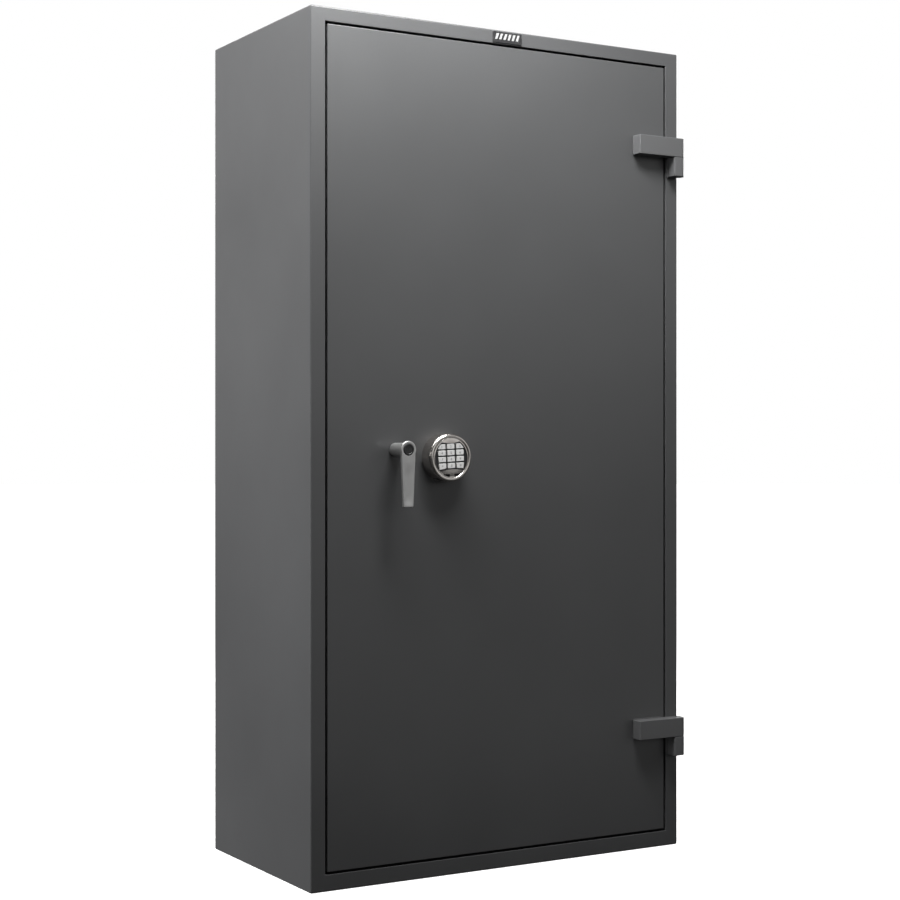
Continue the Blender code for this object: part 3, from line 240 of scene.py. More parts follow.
def satin_chrome():
    """Satin chrome on a casting: warm grey, uneven gloss and brighter edges, partly wear of the plating and
    partly a painted highlight.
    """
    skin = Surface("satin_chrome_plate", Metallic=1.0, Specular_IOR_Level=0.6)
    base = skin.tone(skin.noise(55, 5), 0.35, 0.7, (0.66, 0.630, 0.600), (0.60, 0.565, 0.535))
    skin.wear_and_highlight(base, (0.82, 0.81, 0.80), 0.0006, start=0.96, end=0.75)
    skin.roughness(320, 4, 0.21, 0.27)
    skin.bumps(0.000006, 60, 2)
    return skin.material


def blasted_aluminium():
    """Fine-blasted silver casting: matt grain, small pores and lighter edges, partly hand polish and partly
    a painted highlight.
    """
    skin = Surface("blasted_casting", Metallic=0.90, Specular_IOR_Level=0.5)
    tone = skin.tone(skin.noise(40, 5), 0.3, 0.7, (0.50, 0.50, 0.495), (0.545, 0.545, 0.54))
    skin.wear_and_highlight(tone, (0.76, 0.76, 0.75), 0.0012)
    skin.roughness(160, 4, 0.35, 0.42)
    skin.bumps(0.00002, 1900, 3)
    skin.relief(skin.spread(skin.cells(700), 0, 1, 0.05, 0.18), 0.00002)
    return skin.material


def moulded_plastic(name, base, wear_and_highlight, gloss, grain=900):
    """Moulded plastic with a spark-eroded grain, faint flow marks and lighter edges, partly wear and partly
    a painted highlight.
    """
    skin = Surface(name, Specular_IOR_Level=0.5)
    body = skin.tone(skin.noise(35, 4, (1, 1, 0.3)), 0.3, 0.7, base, scaled(base, 0.85))
    skin.wear_and_highlight(body, wear_and_highlight, 0.0006, 0.6)
    skin.roughness(220, 4, gloss - 0.06, gloss + 0.08)
    skin.relief(skin.cells(grain), 0.00003)
    skin.bumps(0.00002, 2400, 2)
    return skin.material


def rubber():
    """Black rubber with pale dust and a soft, uneven skin."""
    skin = Surface("black_rubber_seal", Specular_IOR_Level=0.35)
    dust = skin.spread(skin.noise(130, 6), 0, 0.6, 0.5, 0.8)
    skin.colour(skin.mix(dust, (0.016, 0.016, 0.017), (0.060, 0.058, 0.055)))
    skin.roughness(300, 3, 0.62, 0.82)
    skin.bumps(0.00006, 700, 4)
    return skin.material


def needle_felt(name, dark, light):
    """Needle felt: tangled fibres, small tufts and a soft sheen."""
    sheen = {"Sheen_Weight": 0.45, "Sheen_Roughness": 0.5}
    skin = Surface(name, Roughness=0.95, Specular_IOR_Level=0.15, **sheen)
    fibres = skin.noise(1700, 6, (1, 0.35, 1), 0.7)
    crossing = skin.noise(1500, 6, (0.35, 1, 0.6), 0.7)
    tangle = skin.calculate("MULTIPLY", fibres, crossing)
    tufts = skin.noise(140, 4)
    tone = skin.tone(tangle, 0.12, 0.42, dark, light)
    skin.colour(skin.mix(skin.spread(tufts, 0, 0.5, 0.4, 0.75), tone, dark))
    skin.relief(tangle, 0.0011)
    skin.relief(tufts, 0.0009)
    return skin.material


def mineral_filling():
    """Cast fire-resisting filling: pale grain, pores and damp patches."""
    skin = Surface("mineral_filling", Specular_IOR_Level=0.3)
    grains = skin.noise(260, 7, rough=0.65)
    skin.colour(skin.tone(grains, 0.3, 0.7, (0.34, 0.325, 0.30), (0.50, 0.48, 0.45)))
    skin.roughness(40, 4, 0.82, 0.96)
    skin.relief(grains, 0.0006)
    skin.relief(skin.spread(skin.cells(120), 0, 1, 0.02, 0.25), 0.0008)
    return skin.material


def battery_sleeve():
    """A printed sleeve: a dark body with a copper band at one end, and lighter edges, partly wear of the
    print and partly a painted highlight.
    """
    skin = Surface("battery_sleeve_print", Specular_IOR_Level=0.5, Coat_Weight=0.5, Coat_Roughness=0.15)
    band_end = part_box("battery")[0].x + 0.0150
    across = skin.node("ShaderNodeSeparateXYZ", [(0, skin.place)]).outputs[0]
    print_grain = skin.noise(1200, 3)
    dark = skin.tone(print_grain, 0.3, 0.7, (0.020, 0.021, 0.024), (0.040, 0.042, 0.047))
    copper = skin.tone(print_grain, 0.3, 0.7, (0.42, 0.19, 0.07), (0.52, 0.25, 0.10))
    sleeve = skin.tone(across, band_end, band_end + 0.0004, copper, dark)
    skin.wear_and_highlight(sleeve, (0.25, 0.24, 0.22), 0.0008)
    skin.roughness(180, 4, 0.28, 0.42)
    skin.bumps(0.00003, 500, 3)
    return skin.material


def printed_ink(name, base):
    """Ink pressed on a key or plate: slightly uneven, matt."""
    skin = Surface(name, Specular_IOR_Level=0.4)
    skin.colour(skin.tone(skin.noise(1800, 3), 0.3, 0.7, base, scaled(base, 1.5)))
    skin.roughness(900, 2, 0.45, 0.62)
    skin.bumps(0.00001, 2500, 2)
    return skin.material


# Each finish is a material and the slot that its pieces take
PAINT = (
    powder_coat("anthracite_powder_coat", (0.0505, 0.0512, 0.0524), (0.115, 0.116, 0.118), 0.40),
    "anthracite_paint",
)
# Painted light: the hinges take the same anthracite paint made lighter, standing for the extra light that
# their fronts catch.
HINGE_PAINTED_LIGHT = (
    powder_coat("hinge_coat_painted_light", (0.0794, 0.0801, 0.0817), (0.130, 0.131, 0.133), 0.38),
    "anthracite_paint",
)
# Painted shade: the jamb takes the same anthracite paint made much darker, standing for the shade in the gap
# round the door.
JAMB_PAINTED_SHADE = (
    powder_coat("jamb_coat_painted_shade", (0.0200, 0.0203, 0.0208), (0.060, 0.061, 0.062), 0.50),
    "anthracite_paint",
)
LINER = (
    powder_coat("liner_grey_paint", (0.150, 0.154, 0.158), (0.24, 0.245, 0.25), 0.55),
    "liner_paint",
)
STEEL_X = (turned_steel("turned_steel_x", 0), "bright_steel")
STEEL_Y = (turned_steel("turned_steel_y", 1), "bright_steel")
STEEL_Z = (turned_steel("turned_steel_z", 2), "bright_steel")
ZINC = (zinc_plate("zinc_plated_steel"), "zinc_steel")
CHROME = (satin_chrome(), "satin_chrome")
CASTING = (blasted_aluminium(), "cast_aluminium")
KEYS = (
    moulded_plastic("key_silver_plastic", (0.72, 0.72, 0.71), (0.86, 0.86, 0.85), 0.40, 1400),
    "key_plastic",
)
BLACK = (
    moulded_plastic("black_plastic_grain", (0.011, 0.011, 0.012), (0.055, 0.055, 0.057), 0.42),
    "black_plastic",
)
RUBBER = (rubber(), "black_rubber")
FELT = (needle_felt("grey_needle_felt", (0.035, 0.035, 0.038), (0.17, 0.17, 0.175)), "grey_felt")
BOARD_FELT = (
    needle_felt("board_needle_felt", (0.045, 0.045, 0.048), (0.20, 0.20, 0.205)),
    "covered_board",
)
FILLING = (mineral_filling(), None)
SLEEVE = (battery_sleeve(), "battery_sleeve")
KEY_INK = printed_ink("key_ink", (0.15, 0.15, 0.155))
SILVER_INK = (printed_ink("silver_mark", (0.22, 0.22, 0.22)), "bright_steel")


# Mesh tools


def box_work(low, high):
    work = bmesh.new()
    low, high = Vector(low), Vector(high)
    bmesh.ops.create_cube(work, size=1.0)
    bmesh.ops.scale(work, verts=work.verts, vec=high - low)
    bmesh.ops.translate(work, verts=work.verts, vec=(low + high) / 2)
    return work


def rounded_box(low, high, width, segments=3):
    return soften(box_work(low, high), width, segments)


def rod_work(start, end, radius, end_radius=None, sides=48):
    """A rod or cone between two points."""
    work = bmesh.new()
    start, end = Vector(start), Vector(end)
    turn = (end - start).to_track_quat("Z", "Y").to_matrix().to_4x4()
    place = moved((start + end) / 2) @ turn
    size = {"radius1": radius, "radius2": end_radius or radius, "depth": (end - start).length}
    bmesh.ops.create_cone(work, cap_ends=True, segments=sides, matrix=place, **size)
    return work


def evenly(first, last, count):
    """Evenly spaced values, with both ends."""
    return [first + (last - first) * index / (count - 1) for index in range(count)]


def extent(points):
    """The low and high corner of some points."""
    points = list(points)
    low, high = ([pick(point[axis] for point in points) for axis in range(3)] for pick in (min, max))
    return Vector(low), Vector(high)


def all_ends(test):
    """A test that an edge passes when both its ends pass."""
    return lambda edge: all(test(end.co) for end in edge.verts)


def arc(centre, radius, first, last, count):
    """Points along an arc, with angles in degrees."""
    x, y = centre
    angles = [radians(angle) for angle in evenly(first, last, count + 1)]
    return [(x + radius * cos(angle), y + radius * sin(angle)) for angle in angles]


def plate_work(outline, low, high):
    """A flat outline in X and Y, made solid from one height to the other."""
    work = bmesh.new()
    face = work.faces.new([work.verts.new((x, y, low)) for x, y in outline])
    grown = bmesh.ops.extrude_face_region(work, geom=[face])["geom"]
    top = [item for item in grown if isinstance(item, bmesh.types.BMVert)]
    bmesh.ops.translate(work, verts=top, vec=(0, 0, high - low))
    bmesh.ops.recalc_face_normals(work, faces=work.faces)
    return work


def turned_work(profile, steps=64):
    """A profile of (radius, height) points turned about Z, starting and ending on the axis or closed."""
    work = bmesh.new()
    points = [work.verts.new((radius, 0.0, height)) for radius, height in profile]
    lines = [work.edges.new(pair) for pair in zip(points, points[1:])]
    if profile[0][0] > 0 and profile[-1][0] > 0:
        lines.append(work.edges.new((points[-1], points[0])))
    turn = {"cent": (0, 0, 0), "axis": (0, 0, 1), "angle": tau}
    bmesh.ops.spin(work, geom=points + lines, steps=steps, use_merge=True, **turn)
    bmesh.ops.remove_doubles(work, verts=work.verts, dist=1e-7)
    bmesh.ops.recalc_face_normals(work, faces=work.faces)
    return work


def soften(work, width, segments=3, angle=40, where=None):
    """Round the edges that turn more than an angle, or those of them that a test picks."""
    limit = radians(angle)
    sharp = [edge for edge in work.edges if len(edge.link_faces) == 2 and edge.calc_face_angle(0) > limit]
    picked = [edge for edge in sharp if where is None or where(edge)]
    shape = {"offset": width, "segments": segments, "profile": 0.5}
    bmesh.ops.bevel(work, geom=picked, affect="EDGES", clamp_overlap=True, **shape)
    return work


def moved(place):
    return Matrix.Translation(place)


def turned(angle, axis):
    return Matrix.Rotation(radians(angle), 4, axis)


def placed(work, matrix):
    bmesh.ops.transform(work, matrix=matrix, verts=work.verts)
    return work


def add_object(name, data):
    obj = bpy.data.objects.new(name, data)
    bpy.context.scene.collection.objects.link(obj)
    return obj


def to_object(work, name):
    mesh = bpy.data.meshes.new(name)
    work.to_mesh(mesh)
    work.free()
    return add_object(name, mesh)


def combined(work, others, operation="DIFFERENCE"):
    """A new bmesh: the first with each of the others cut from it or joined to it."""
    base = to_object(work, "base")
    tools = [to_object(other, "tool") for other in others]
    for tool in tools:
        boolean = base.modifiers.new("cut", "BOOLEAN")
        boolean.operation = operation
        boolean.solver = "EXACT"
        boolean.object = tool
    result = bmesh.new()
    depsgraph = bpy.context.evaluated_depsgraph_get()
    result.from_mesh(base.evaluated_get(depsgraph).to_mesh())
    for obj in [base] + tools:
        bpy.data.objects.remove(obj, do_unlink=True)
    bmesh.ops.dissolve_limit(result, angle_limit=radians(0.05), verts=result.verts, edges=result.edges)
    return result


def joined(works):
    """Several separate solids as one bmesh."""
    whole = bmesh.new()
    for work in works:
        mesh = bpy.data.meshes.new("part")
        work.to_mesh(mesh)
        work.free()
        whole.from_mesh(mesh)
        bpy.data.meshes.remove(mesh)
    return whole


def piece(name, work, finish, body, nodes=(), smooth=35):
    """Make a piece that rides on a body, takes a finish and may stand for CAD nodes."""
    obj = to_object(work, name)
    material, slot = finish
    obj.data.materials.append(material)
    obj.data.shade_smooth()
    obj.data.set_sharp_from_angle(angle=radians(smooth))
    obj.modifiers.new("weighted", "WEIGHTED_NORMAL").keep_sharp = True
    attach(obj, body)
    if nodes:
        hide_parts(*nodes)
    return obj


def node_work(node):
    """A CAD node's shape as a clean bmesh, to refine into a piece."""
    work = bmesh.new()
    work.from_mesh(frame["nodes"][node].data)
    bmesh.ops.remove_doubles(work, verts=work.verts, dist=1e-6)
    bmesh.ops.dissolve_limit(work, angle_limit=radians(1.0), verts=work.verts, edges=work.edges)
    return work


def refined(node, finish, body, width, segments=3, angle=40):
    """A CAD node's shape with its edges rounded."""
    work = soften(node_work(node), width, segments, angle)
    return piece(node + "_piece", work, finish, body, [node])


def finish_node(node, finish):
    """Give a CAD node that stays a better material."""
    materials = frame["nodes"][node].data.materials
    materials.clear()
    materials.append(finish[0])


def middle(node):
    low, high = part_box(node)
    return (low + high) / 2


# Body


def make_casing():
    """The folded body with rounded folds, and the opening's slightly rounded lip."""
    low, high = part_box("outer_casing")
    work = rounded_box(low, high, 0.003, 4)
    step = Vector((SHEET, SHEET, SHEET))
    inside = box_work(low + step, high - Vector((SHEET, -SHEET, SHEET)))
    opening_low = Vector((OPEN_LOW.x + SHEET, FRONT_Y - SHEET, OPEN_LOW.z + SHEET))
    opening_high = Vector((OPEN_HIGH.x - SHEET, 0.0, OPEN_HIGH.z - SHEET))
    cutters = [inside, box_work(opening_low, opening_high)]
    for side in ("left", "right"):
        x, y, _ = middle("anchor_plug_" + side)
        cutters.append(rod_work((x, y, -SHEET), (x, y, 2 * SHEET), ANCHOR_HOLE))
    work = combined(work, cutters)

    def on_lip(end):
        inside_x = abs(end.x) < opening_high.x + 1e-4
        inside_z = opening_low.z - 1e-4 < end.z < opening_high.z + 1e-4
        return abs(end.y - FRONT_Y) < 1e-5 and inside_x and inside_z

    soften(work, 0.0009, 3, where=all_ends(on_lip))
    piece("casing_shell", work, PAINT, BODY, ["outer_casing"])


def make_back():
    """The rear panel with rounded edges, and the row of plug welds that holds it."""
    low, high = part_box("rear_panel")
    high.y -= 0.0005
    work = rounded_box(low, high, 0.0008, 3)
    piece("back_panel", work, PAINT, BODY, ["rear_panel"])
    inset, depth, radius = 0.016, 0.0003, 0.0050
    column, row = evenly(low.z + 0.06, high.z - 0.06, 12), evenly(low.x + 0.12, high.x - 0.12, 5)
    welds = [(x, z) for x in (low.x + inset, high.x - inset) for z in column]
    welds += [(x, z) for z in (low.z + inset, high.z - inset) for x in row]
    profile = [(0.0, 0.0), (radius, 0.0), (radius, depth * 1.2), (radius * 0.84, depth * 2.5)]
    profile += [(radius * 0.52, depth * 1.6), (0.0, depth * 1.3)]
    upright = turned(-90, "X")
    places = [moved((x, high.y - depth, z)) for x, z in welds]
    discs = [placed(turned_work(profile, 20), place @ upright) for place in places]
    piece("back_plug_welds", joined(discs), PAINT, BODY)


def make_name_plate():
    """A black plate with a raised border and a plain hatched mark."""
    low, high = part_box("name_plate")
    work = rounded_box(low, high, 0.0005, 3)
    border = 0.0011
    field_low = Vector((low.x + border, low.y - 0.001, low.z + border))
    field_high = Vector((high.x - border, low.y + 0.0005, high.z - border))
    work = combined(work, [box_work(field_low, field_high)])
    soften(work, 0.0002, 2)
    piece("name_plate_black", work, BLACK, BODY, ["name_plate"])
    centre = (low + high) / 2
    tall, wide, lean, pitch = 0.0112, 0.0046, 0.0040, 0.0090
    bottom = centre.z + 0.0014 - tall / 2
    top = bottom + tall
    upright = turned(90, "X")
    marks = []
    for x in evenly(centre.x - 2.5 * pitch, centre.x + 2.5 * pitch, 6):
        left, right = x - (wide + lean) / 2, x + (wide + lean) / 2
        outline = [(left, bottom), (right - lean, bottom), (right, top), (left + lean, top)]
        bar = plate_work(outline, -(low.y + 0.0006), -(low.y - 0.0001))
        marks.append(soften(placed(bar, upright), 0.0001, 1))
    piece("name_plate_hatch", joined(marks), SILVER_INK, BODY)


def bead_work(points, radius, seed):
    """A weld bead along a path: overlapping ripples with small, seeded differences."""
    draw = random.Random(seed)
    work = bmesh.new()
    path = [Vector(point) for point in points]
    stations = []
    for start, end in zip(path, path[1:]):
        count = max(2, round((end - start).length / 0.0007))
        stations += [start.lerp(end, step / count) for step in range(count)]
    stations.append(path[-1])
    rings = []
    for index, place in enumerate(stations):
        ahead = stations[min(index + 1, len(stations) - 1)] - stations[max(index - 1, 0)]
        turn = ahead.to_track_quat("Z", "Y").to_matrix()
        ripple = 1.0 + 0.13 * sin(index * tau / 3.2) + draw.uniform(-0.05, 0.05)
        taper = min(1.0, 0.35 + 0.3 * min(index, len(stations) - 1 - index))
        circle = arc((0.0, 0.0), radius * ripple * taper, 0, 324, 9)
        rings.append([work.verts.new(place + turn @ Vector((x, y, 0.0))) for x, y in circle])
    for first, second in zip(rings, rings[1:]):
        for side in range(-1, len(first) - 1):
            work.faces.new((first[side], first[side + 1], second[side + 1], second[side]))
    work.faces.new(rings[0])
    work.faces.new(rings[-1])
    bmesh.ops.recalc_face_normals(work, faces=work.faces)
    return work


def hinge_work(node):
    """A strap or knuckle: square at the left, round about the pin, with softly rounded edges."""
    low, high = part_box(node)
    radius = high.x - HINGE_AXIS.x
    outline = [(low.x, high.y), (low.x, low.y)]
    outline += arc((HINGE_AXIS.x, HINGE_AXIS.y), radius, -90, 90, 28)
    work = soften(plate_work(outline, low.z, high.z), 0.0012, 3, 60)
    bore = (HINGE_AXIS.x, HINGE_AXIS.y)
    hole = rod_work((*bore, low.z - 0.01), (*bore, high.z + 0.01), PIN_BORE, sides=40)
    return combined(work, [hole])


def make_hinges():
    """Both hinges, each with its strap, knuckle, pin and welds."""
    for label in ("lower", "upper"):
        for part, body in (("strap_", "door"), ("knuckle_", BODY)):
            node = "hinge_" + part + label
            # The straps and knuckles take the lighter copy of the paint, a painted light.
            piece(part + label, hinge_work(node), HINGE_PAINTED_LIGHT, body, [node])
        make_hinge_pin(label)
        make_hinge_welds(label)


def make_hinge_pin(label):
    """The pin with a domed top and a chamfer."""
    low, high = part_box("hinge_pin_" + label)
    radius, drop = 0.0060, 0.0010
    profile = [(0.0, low.z), (radius - 0.0006, low.z), (radius, low.z + 0.0006), (radius, high.z - drop)]
    profile += [(radius * cos(a), high.z - drop + drop * sin(a)) for a in (0.35, 0.7, 1.1)]
    profile += [(0.0, high.z)]
    work = placed(turned_work(profile, 40), moved((HINGE_AXIS.x, HINGE_AXIS.y, 0.0)))
    piece("pin_" + label, work, STEEL_Z, BODY, ["hinge_pin_" + label])


def make_hinge_welds(label):
    """Fillet welds where the knuckle meets the frame and the strap meets the door."""
    low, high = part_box("hinge_knuckle_" + label)
    edge, back_off = 0.0006, 0.004
    below, left = low.z - edge, low.x - edge
    right = min(high.x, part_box("outer_casing")[1].x) - back_off
    face = FRONT_Y - 0.0002
    knuckle = [(left, face, high.z - back_off), (left, face, below), (right, face, below)]
    beads = bead_work(knuckle, 0.0017, label)
    piece("knuckle_weld_" + label, beads, PAINT, BODY, smooth=60)
    low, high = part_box("hinge_strap_" + label)
    beads = []
    for seed, z in (("top", high.z + edge), ("bottom", low.z - edge)):
        line = [(low.x + back_off, face, z), (DOOR_RIGHT - 0.006, face, z)]
        beads.append(bead_work(line, 0.0011, label + seed))
    piece("strap_weld_" + label, joined(beads), PAINT, "door", smooth=60)


def make_frame_details():
    """The jamb, the lining, the filling between the walls and the seal."""
    finish_node("wall_filling", FILLING)
    # The jamb takes the darker copy of the paint, a painted shade in the gap round the door.
    refined("door_frame", JAMB_PAINTED_SHADE, BODY, 0.0006, 2)
    refined("inner_liner", LINER, BODY, 0.0006, 2)
    make_seal()


def make_seal():
    """The seal on the door stop: two soft ribs with a groove between them."""
    low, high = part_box("door_seal")
    width = 0.011

    def layer(inset, front, back):
        return box_work((low.x + inset, front, low.z + inset), (high.x - inset, back, high.z - inset))

    def ring(inset, thick, front, back):
        return combined(layer(inset, front, back), [layer(inset + thick, low.y - 0.01, high.y + 0.01)])

    ribs = [ring(width * share, width * 0.32, low.y, high.y - 0.0015) for share in (0.08, 0.60)]
    bars = [soften(rib, 0.0012, 3) for rib in ribs]
    bars.append(soften(ring(0.0, width, high.y - 0.0022, high.y), 0.0004, 2))
    piece("seal_ribs", joined(bars), RUBBER, BODY, ["door_seal"], smooth=50)


def cross(reach, half, bottom, top):
    """Two bars that cross on the Z axis."""
    sizes = ((reach, half), (half, reach))
    return [box_work((-x, -y, bottom), (x, y, top)) for x, y in sizes]


def screw_work(radius=0.0048, height=0.0026):
    """A pan head with a cross recess, standing on the XY plane."""
    profile = [(0.0, 0.0), (radius, 0.0), (radius, height * 0.35)]
    for a in (0.5, 1.0, 1.4):
        profile.append((radius * (0.78 + 0.22 * cos(a)), height * (0.35 + 0.65 * sin(a))))
    profile += [(radius * 0.5, height * 1.02), (0.0, height * 1.05)]
    slot, reach = 0.00055, radius * 0.62
    return combined(turned_work(profile, 28), cross(reach, slot, height * 0.45, height * 2))


def screws(name, places, outward, body):
    """Screw heads at points on a face whose outward direction is given."""
    turn = Vector(outward).to_track_quat("Z", "Y").to_matrix().to_4x4()
    heads = []
    for index, place in enumerate(places):
        spin = Matrix.Rotation(0.4 + index * 1.1, 4, "Z")
        heads.append(placed(screw_work(), moved(place) @ turn @ spin))
    piece(name, joined(heads), ZINC, body, smooth=30)


# Inside


def make_shelf():
    """The felt-covered shelf with rounded edges, its two supports and their screws."""
    low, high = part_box("shelf")
    work = rounded_box(low, high, 0.0032, 4)
    piece("shelf_board", work, BOARD_FELT, BODY, ["shelf"])
    for side in ("left", "right"):
        name = "shelf_support_" + side
        refined(name, ZINC, BODY, 0.0003, 2)
        low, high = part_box(name)
        inward = 1 if side == "left" else -1
        x = (low.x if side == "left" else high.x) + inward * 0.0021
        end_gap = (high.y - low.y) / 10
        places = [(x, y, low.z + 0.011) for y in evenly(low.y + end_gap, high.y - end_gap, 3)]
        screws("shelf_screws_" + side, places, (inward, 0, 0), BODY)


def make_barrel_rack():
    """The felt-covered rack board with rounded notches, held by screws from above."""
    work = soften(node_work("barrel_rack"), 0.0030, 4, 50)
    piece("rack_board", work, BOARD_FELT, BODY, ["barrel_rack"])
    low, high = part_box("barrel_rack")
    places = [(x, high.y - 0.012, high.z) for x in evenly(low.x + 0.03, high.x - 0.03, 4)]
    screws("rack_screws", places, (0, 0, 1), BODY)


def make_floor_mat():
    """A sheet of needle felt with two round holes for the floor anchors."""
    work = soften(node_work("floor_mat"), 0.0009, 2, 50)
    mat = piece("carpet_mat", work, FELT, BODY, ["floor_mat"])


def make_anchor_plugs():
    """Flush plugs with a cross rib in a shallow dish."""
    for side in ("left", "right"):
        node = "anchor_plug_" + side
        low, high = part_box(node)
        x, y, _ = middle(node)
        radius = (high.x - low.x) / 2
        bottom, top = low.z, high.z
        profile = [(0.0, bottom), (radius - 0.001, bottom), (radius, top - 0.0045), (radius, top - 0.0006)]
        profile += [(radius - 0.0006, top), (radius - 0.0020, top), (radius - 0.0024, top - 0.0010)]
        profile += [(0.0, top - 0.0010)]
        ribs = cross(radius - 0.0021, 0.0006, top - 0.0014, top - 0.0003)
        disc = combined(turned_work(profile, 40), ribs, "UNION")
        work = placed(disc, moved((x, y, 0.0)))
        piece("plug_" + side, work, BLACK, BODY, [node])


# Door


def make_door_panel():
    """The door's folded plate with rounded folds and clean round bolt holes."""
    low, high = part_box("door_skin")
    work = rounded_box(low, high, 0.0014, 4)
    plate, flange = 0.004, Vector((SHEET, 0, SHEET))
    inside_low = low + flange + Vector((0, plate, 0))
    inside_high = high - flange + Vector((0, SHEET, 0))
    cutters = [box_work(inside_low, inside_high)]
    for nodes, start in ((SIDE_BOLTS, low.x - SHEET), (FIXED_DOGS, high.x - 2 * SHEET)):
        for node in nodes:
            _, y, z = middle(node)
            cutters.append(rod_work((start, y, z), (start + 3 * SHEET, y, z), BOLT_HOLE))
    for node, z in (("top_bolt_rod", high.z), ("bottom_bolt_rod", low.z)):
        x, y = rod_axis(node)
        cutters.append(rod_work((x, y, z - 2 * SHEET), (x, y, z + 2 * SHEET), ROD_HOLE))
    for place, radius in ((HANDLE_AXIS, SPINDLE_HOLE), (middle("lock_cable"), CABLE_HOLE)):
        cutters.append(rod_work((place.x, low.y - SHEET, place.z), (place.x, 0, place.z), radius))
    piece("door_panel", combined(work, cutters), PAINT, "door", ["door_skin"])


def rod_axis(node):
    """X and Y of a bolt rod's round end."""
    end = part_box(node)[1].z if node.startswith("top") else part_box(node)[0].z
    low, high = extent(v.co for v in frame["nodes"][node].data.vertices if abs(v.co.z - end) < 0.004)
    return (low.x + high.x) / 2, (low.y + high.y) / 2


def make_cover():
    """The boltwork cover seen on the open door: a sheet with three pressed fields and its screws."""
    low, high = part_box("boltwork_cover")
    thin, side_gap, gap, inset = 0.0016, 0.055, 0.06, 0.022
    works = [rounded_box(low, (high.x, low.y + thin, high.z), 0.0005, 2)]
    bottom_y, top_y = low.y + thin - 0.0002, high.y + 0.0014
    tall = (high.z - low.z - 4 * gap) / 3
    for z in evenly(low.z + gap, high.z - gap - tall, 3):
        field = box_work((low.x + side_gap, bottom_y, z), (high.x - side_gap, top_y, z + tall))
        works.append(soften(field, 0.0011, 3, where=all_ends(lambda end: end.y > top_y - 1e-5)))
    piece("cover_sheet", joined(works), PAINT, "door", ["boltwork_cover"])
    face, column = low.y + thin, evenly(low.z + 0.05, high.z - 0.05, 6)
    places = [(x, face, z) for x in (low.x + inset, high.x - inset) for z in column]
    places += [(x, face, z) for z in (low.z + inset, high.z - inset) for x in (-0.18, 0.0, 0.18)]
    screws("cover_screws", places, (0, 1, 0), "door")


def bolt_work(node, end, turn):
    """A round bolt along X with a turned chamfer, and a fine groove behind its tip."""
    low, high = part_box(node)
    radius, length, groove = (high.z - low.z) / 2, high.x - low.x, 0.0130
    profile = [(0.0, 0.0), (radius - 0.0030, 0.0), (radius - 0.0016, 0.0004), (radius - 0.0004, 0.0014)]
    profile += [(radius, 0.0026), (radius, groove), (radius - 0.0003, groove + 0.0003)]
    profile += [(radius, groove + 0.0006), (radius, length - 0.0005), (radius - 0.0005, length)]
    profile += [(0.0, length)]
    _, y, z = middle(node)
    place = moved(((low, high)[end].x, y, z)) @ turned(turn, "Y")
    return placed(turned_work(profile, 56), place)


def make_bolts():
    """The four bolts that are thrown and the three fixed ones on the hinge side."""
    for index, node in enumerate(SIDE_BOLTS):
        piece("throw_bolt_%d" % (index + 1), bolt_work(node, 0, 90), STEEL_X, "carriage", [node])
    for index, node in enumerate(FIXED_DOGS):
        piece("hinge_side_bolt_%d" % (index + 1), bolt_work(node, 1, -90), STEEL_X, "door", [node])


def make_boltwork():
    """Hidden pieces that keep their CAD shape."""
    kept = {
        "bolt_carriage carriage_rack handle_pinion handle_bush lock_case hard_plate": ZINC,
        "top_bolt_rod bottom_bolt_rod": STEEL_Z,
        "lock_finger handle_spindle": STEEL_Y,
        "door_filling": FILLING,
        "lock_cable": RUBBER,
    }
    for nodes, finish in kept.items():
        for node in nodes.split():
            finish_node(node, finish)


# Handle

HEAD_RADIUS = 0.0154
TOP_HALF = 0.0139
TIP_HALF = 0.0104
TIP_DROP = 0.1025
BAR_THICKNESS = 0.0065
RECESS_RADIUS = 0.0109


def blade_half(drop):
    """Half the lever's width at a distance below its axis."""
    share = (drop - HEAD_RADIUS) / (TIP_DROP - HEAD_RADIUS)
    return TOP_HALF + (TIP_HALF - TOP_HALF) * share


def make_lever():
    """The cast lever: a bar with a shallow dish down its front, a round head and a conical neck."""
    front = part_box("handle_lever")[0].y
    bar = make_bar_work()
    placed(bar, handle_place() @ moved((0, 0, FRONT_Y - front - BAR_THICKNESS)))
    work = combined(bar, [make_neck_work(FRONT_Y - front)], "UNION")
    x, _, z = HANDLE_AXIS
    half = 0.0053
    socket = box_work((x - half, front + BAR_THICKNESS, z - half), (x + half, FRONT_Y, z + half))
    recess = rod_work((x, front - 0.002, z), (x, front + 0.003, z), RECESS_RADIUS, sides=64)
    work = combined(work, [socket, recess])

    def on_recess(end):
        on_circle = abs(hypot(end.x - x, end.z - z) - RECESS_RADIUS) < 1e-4
        return on_circle and abs(end.y - front) < 2e-4

    soften(work, 0.0005, 2, where=all_ends(on_recess))
    piece("lever_casting", work, CASTING, "handle", ["handle_lever"], smooth=42)


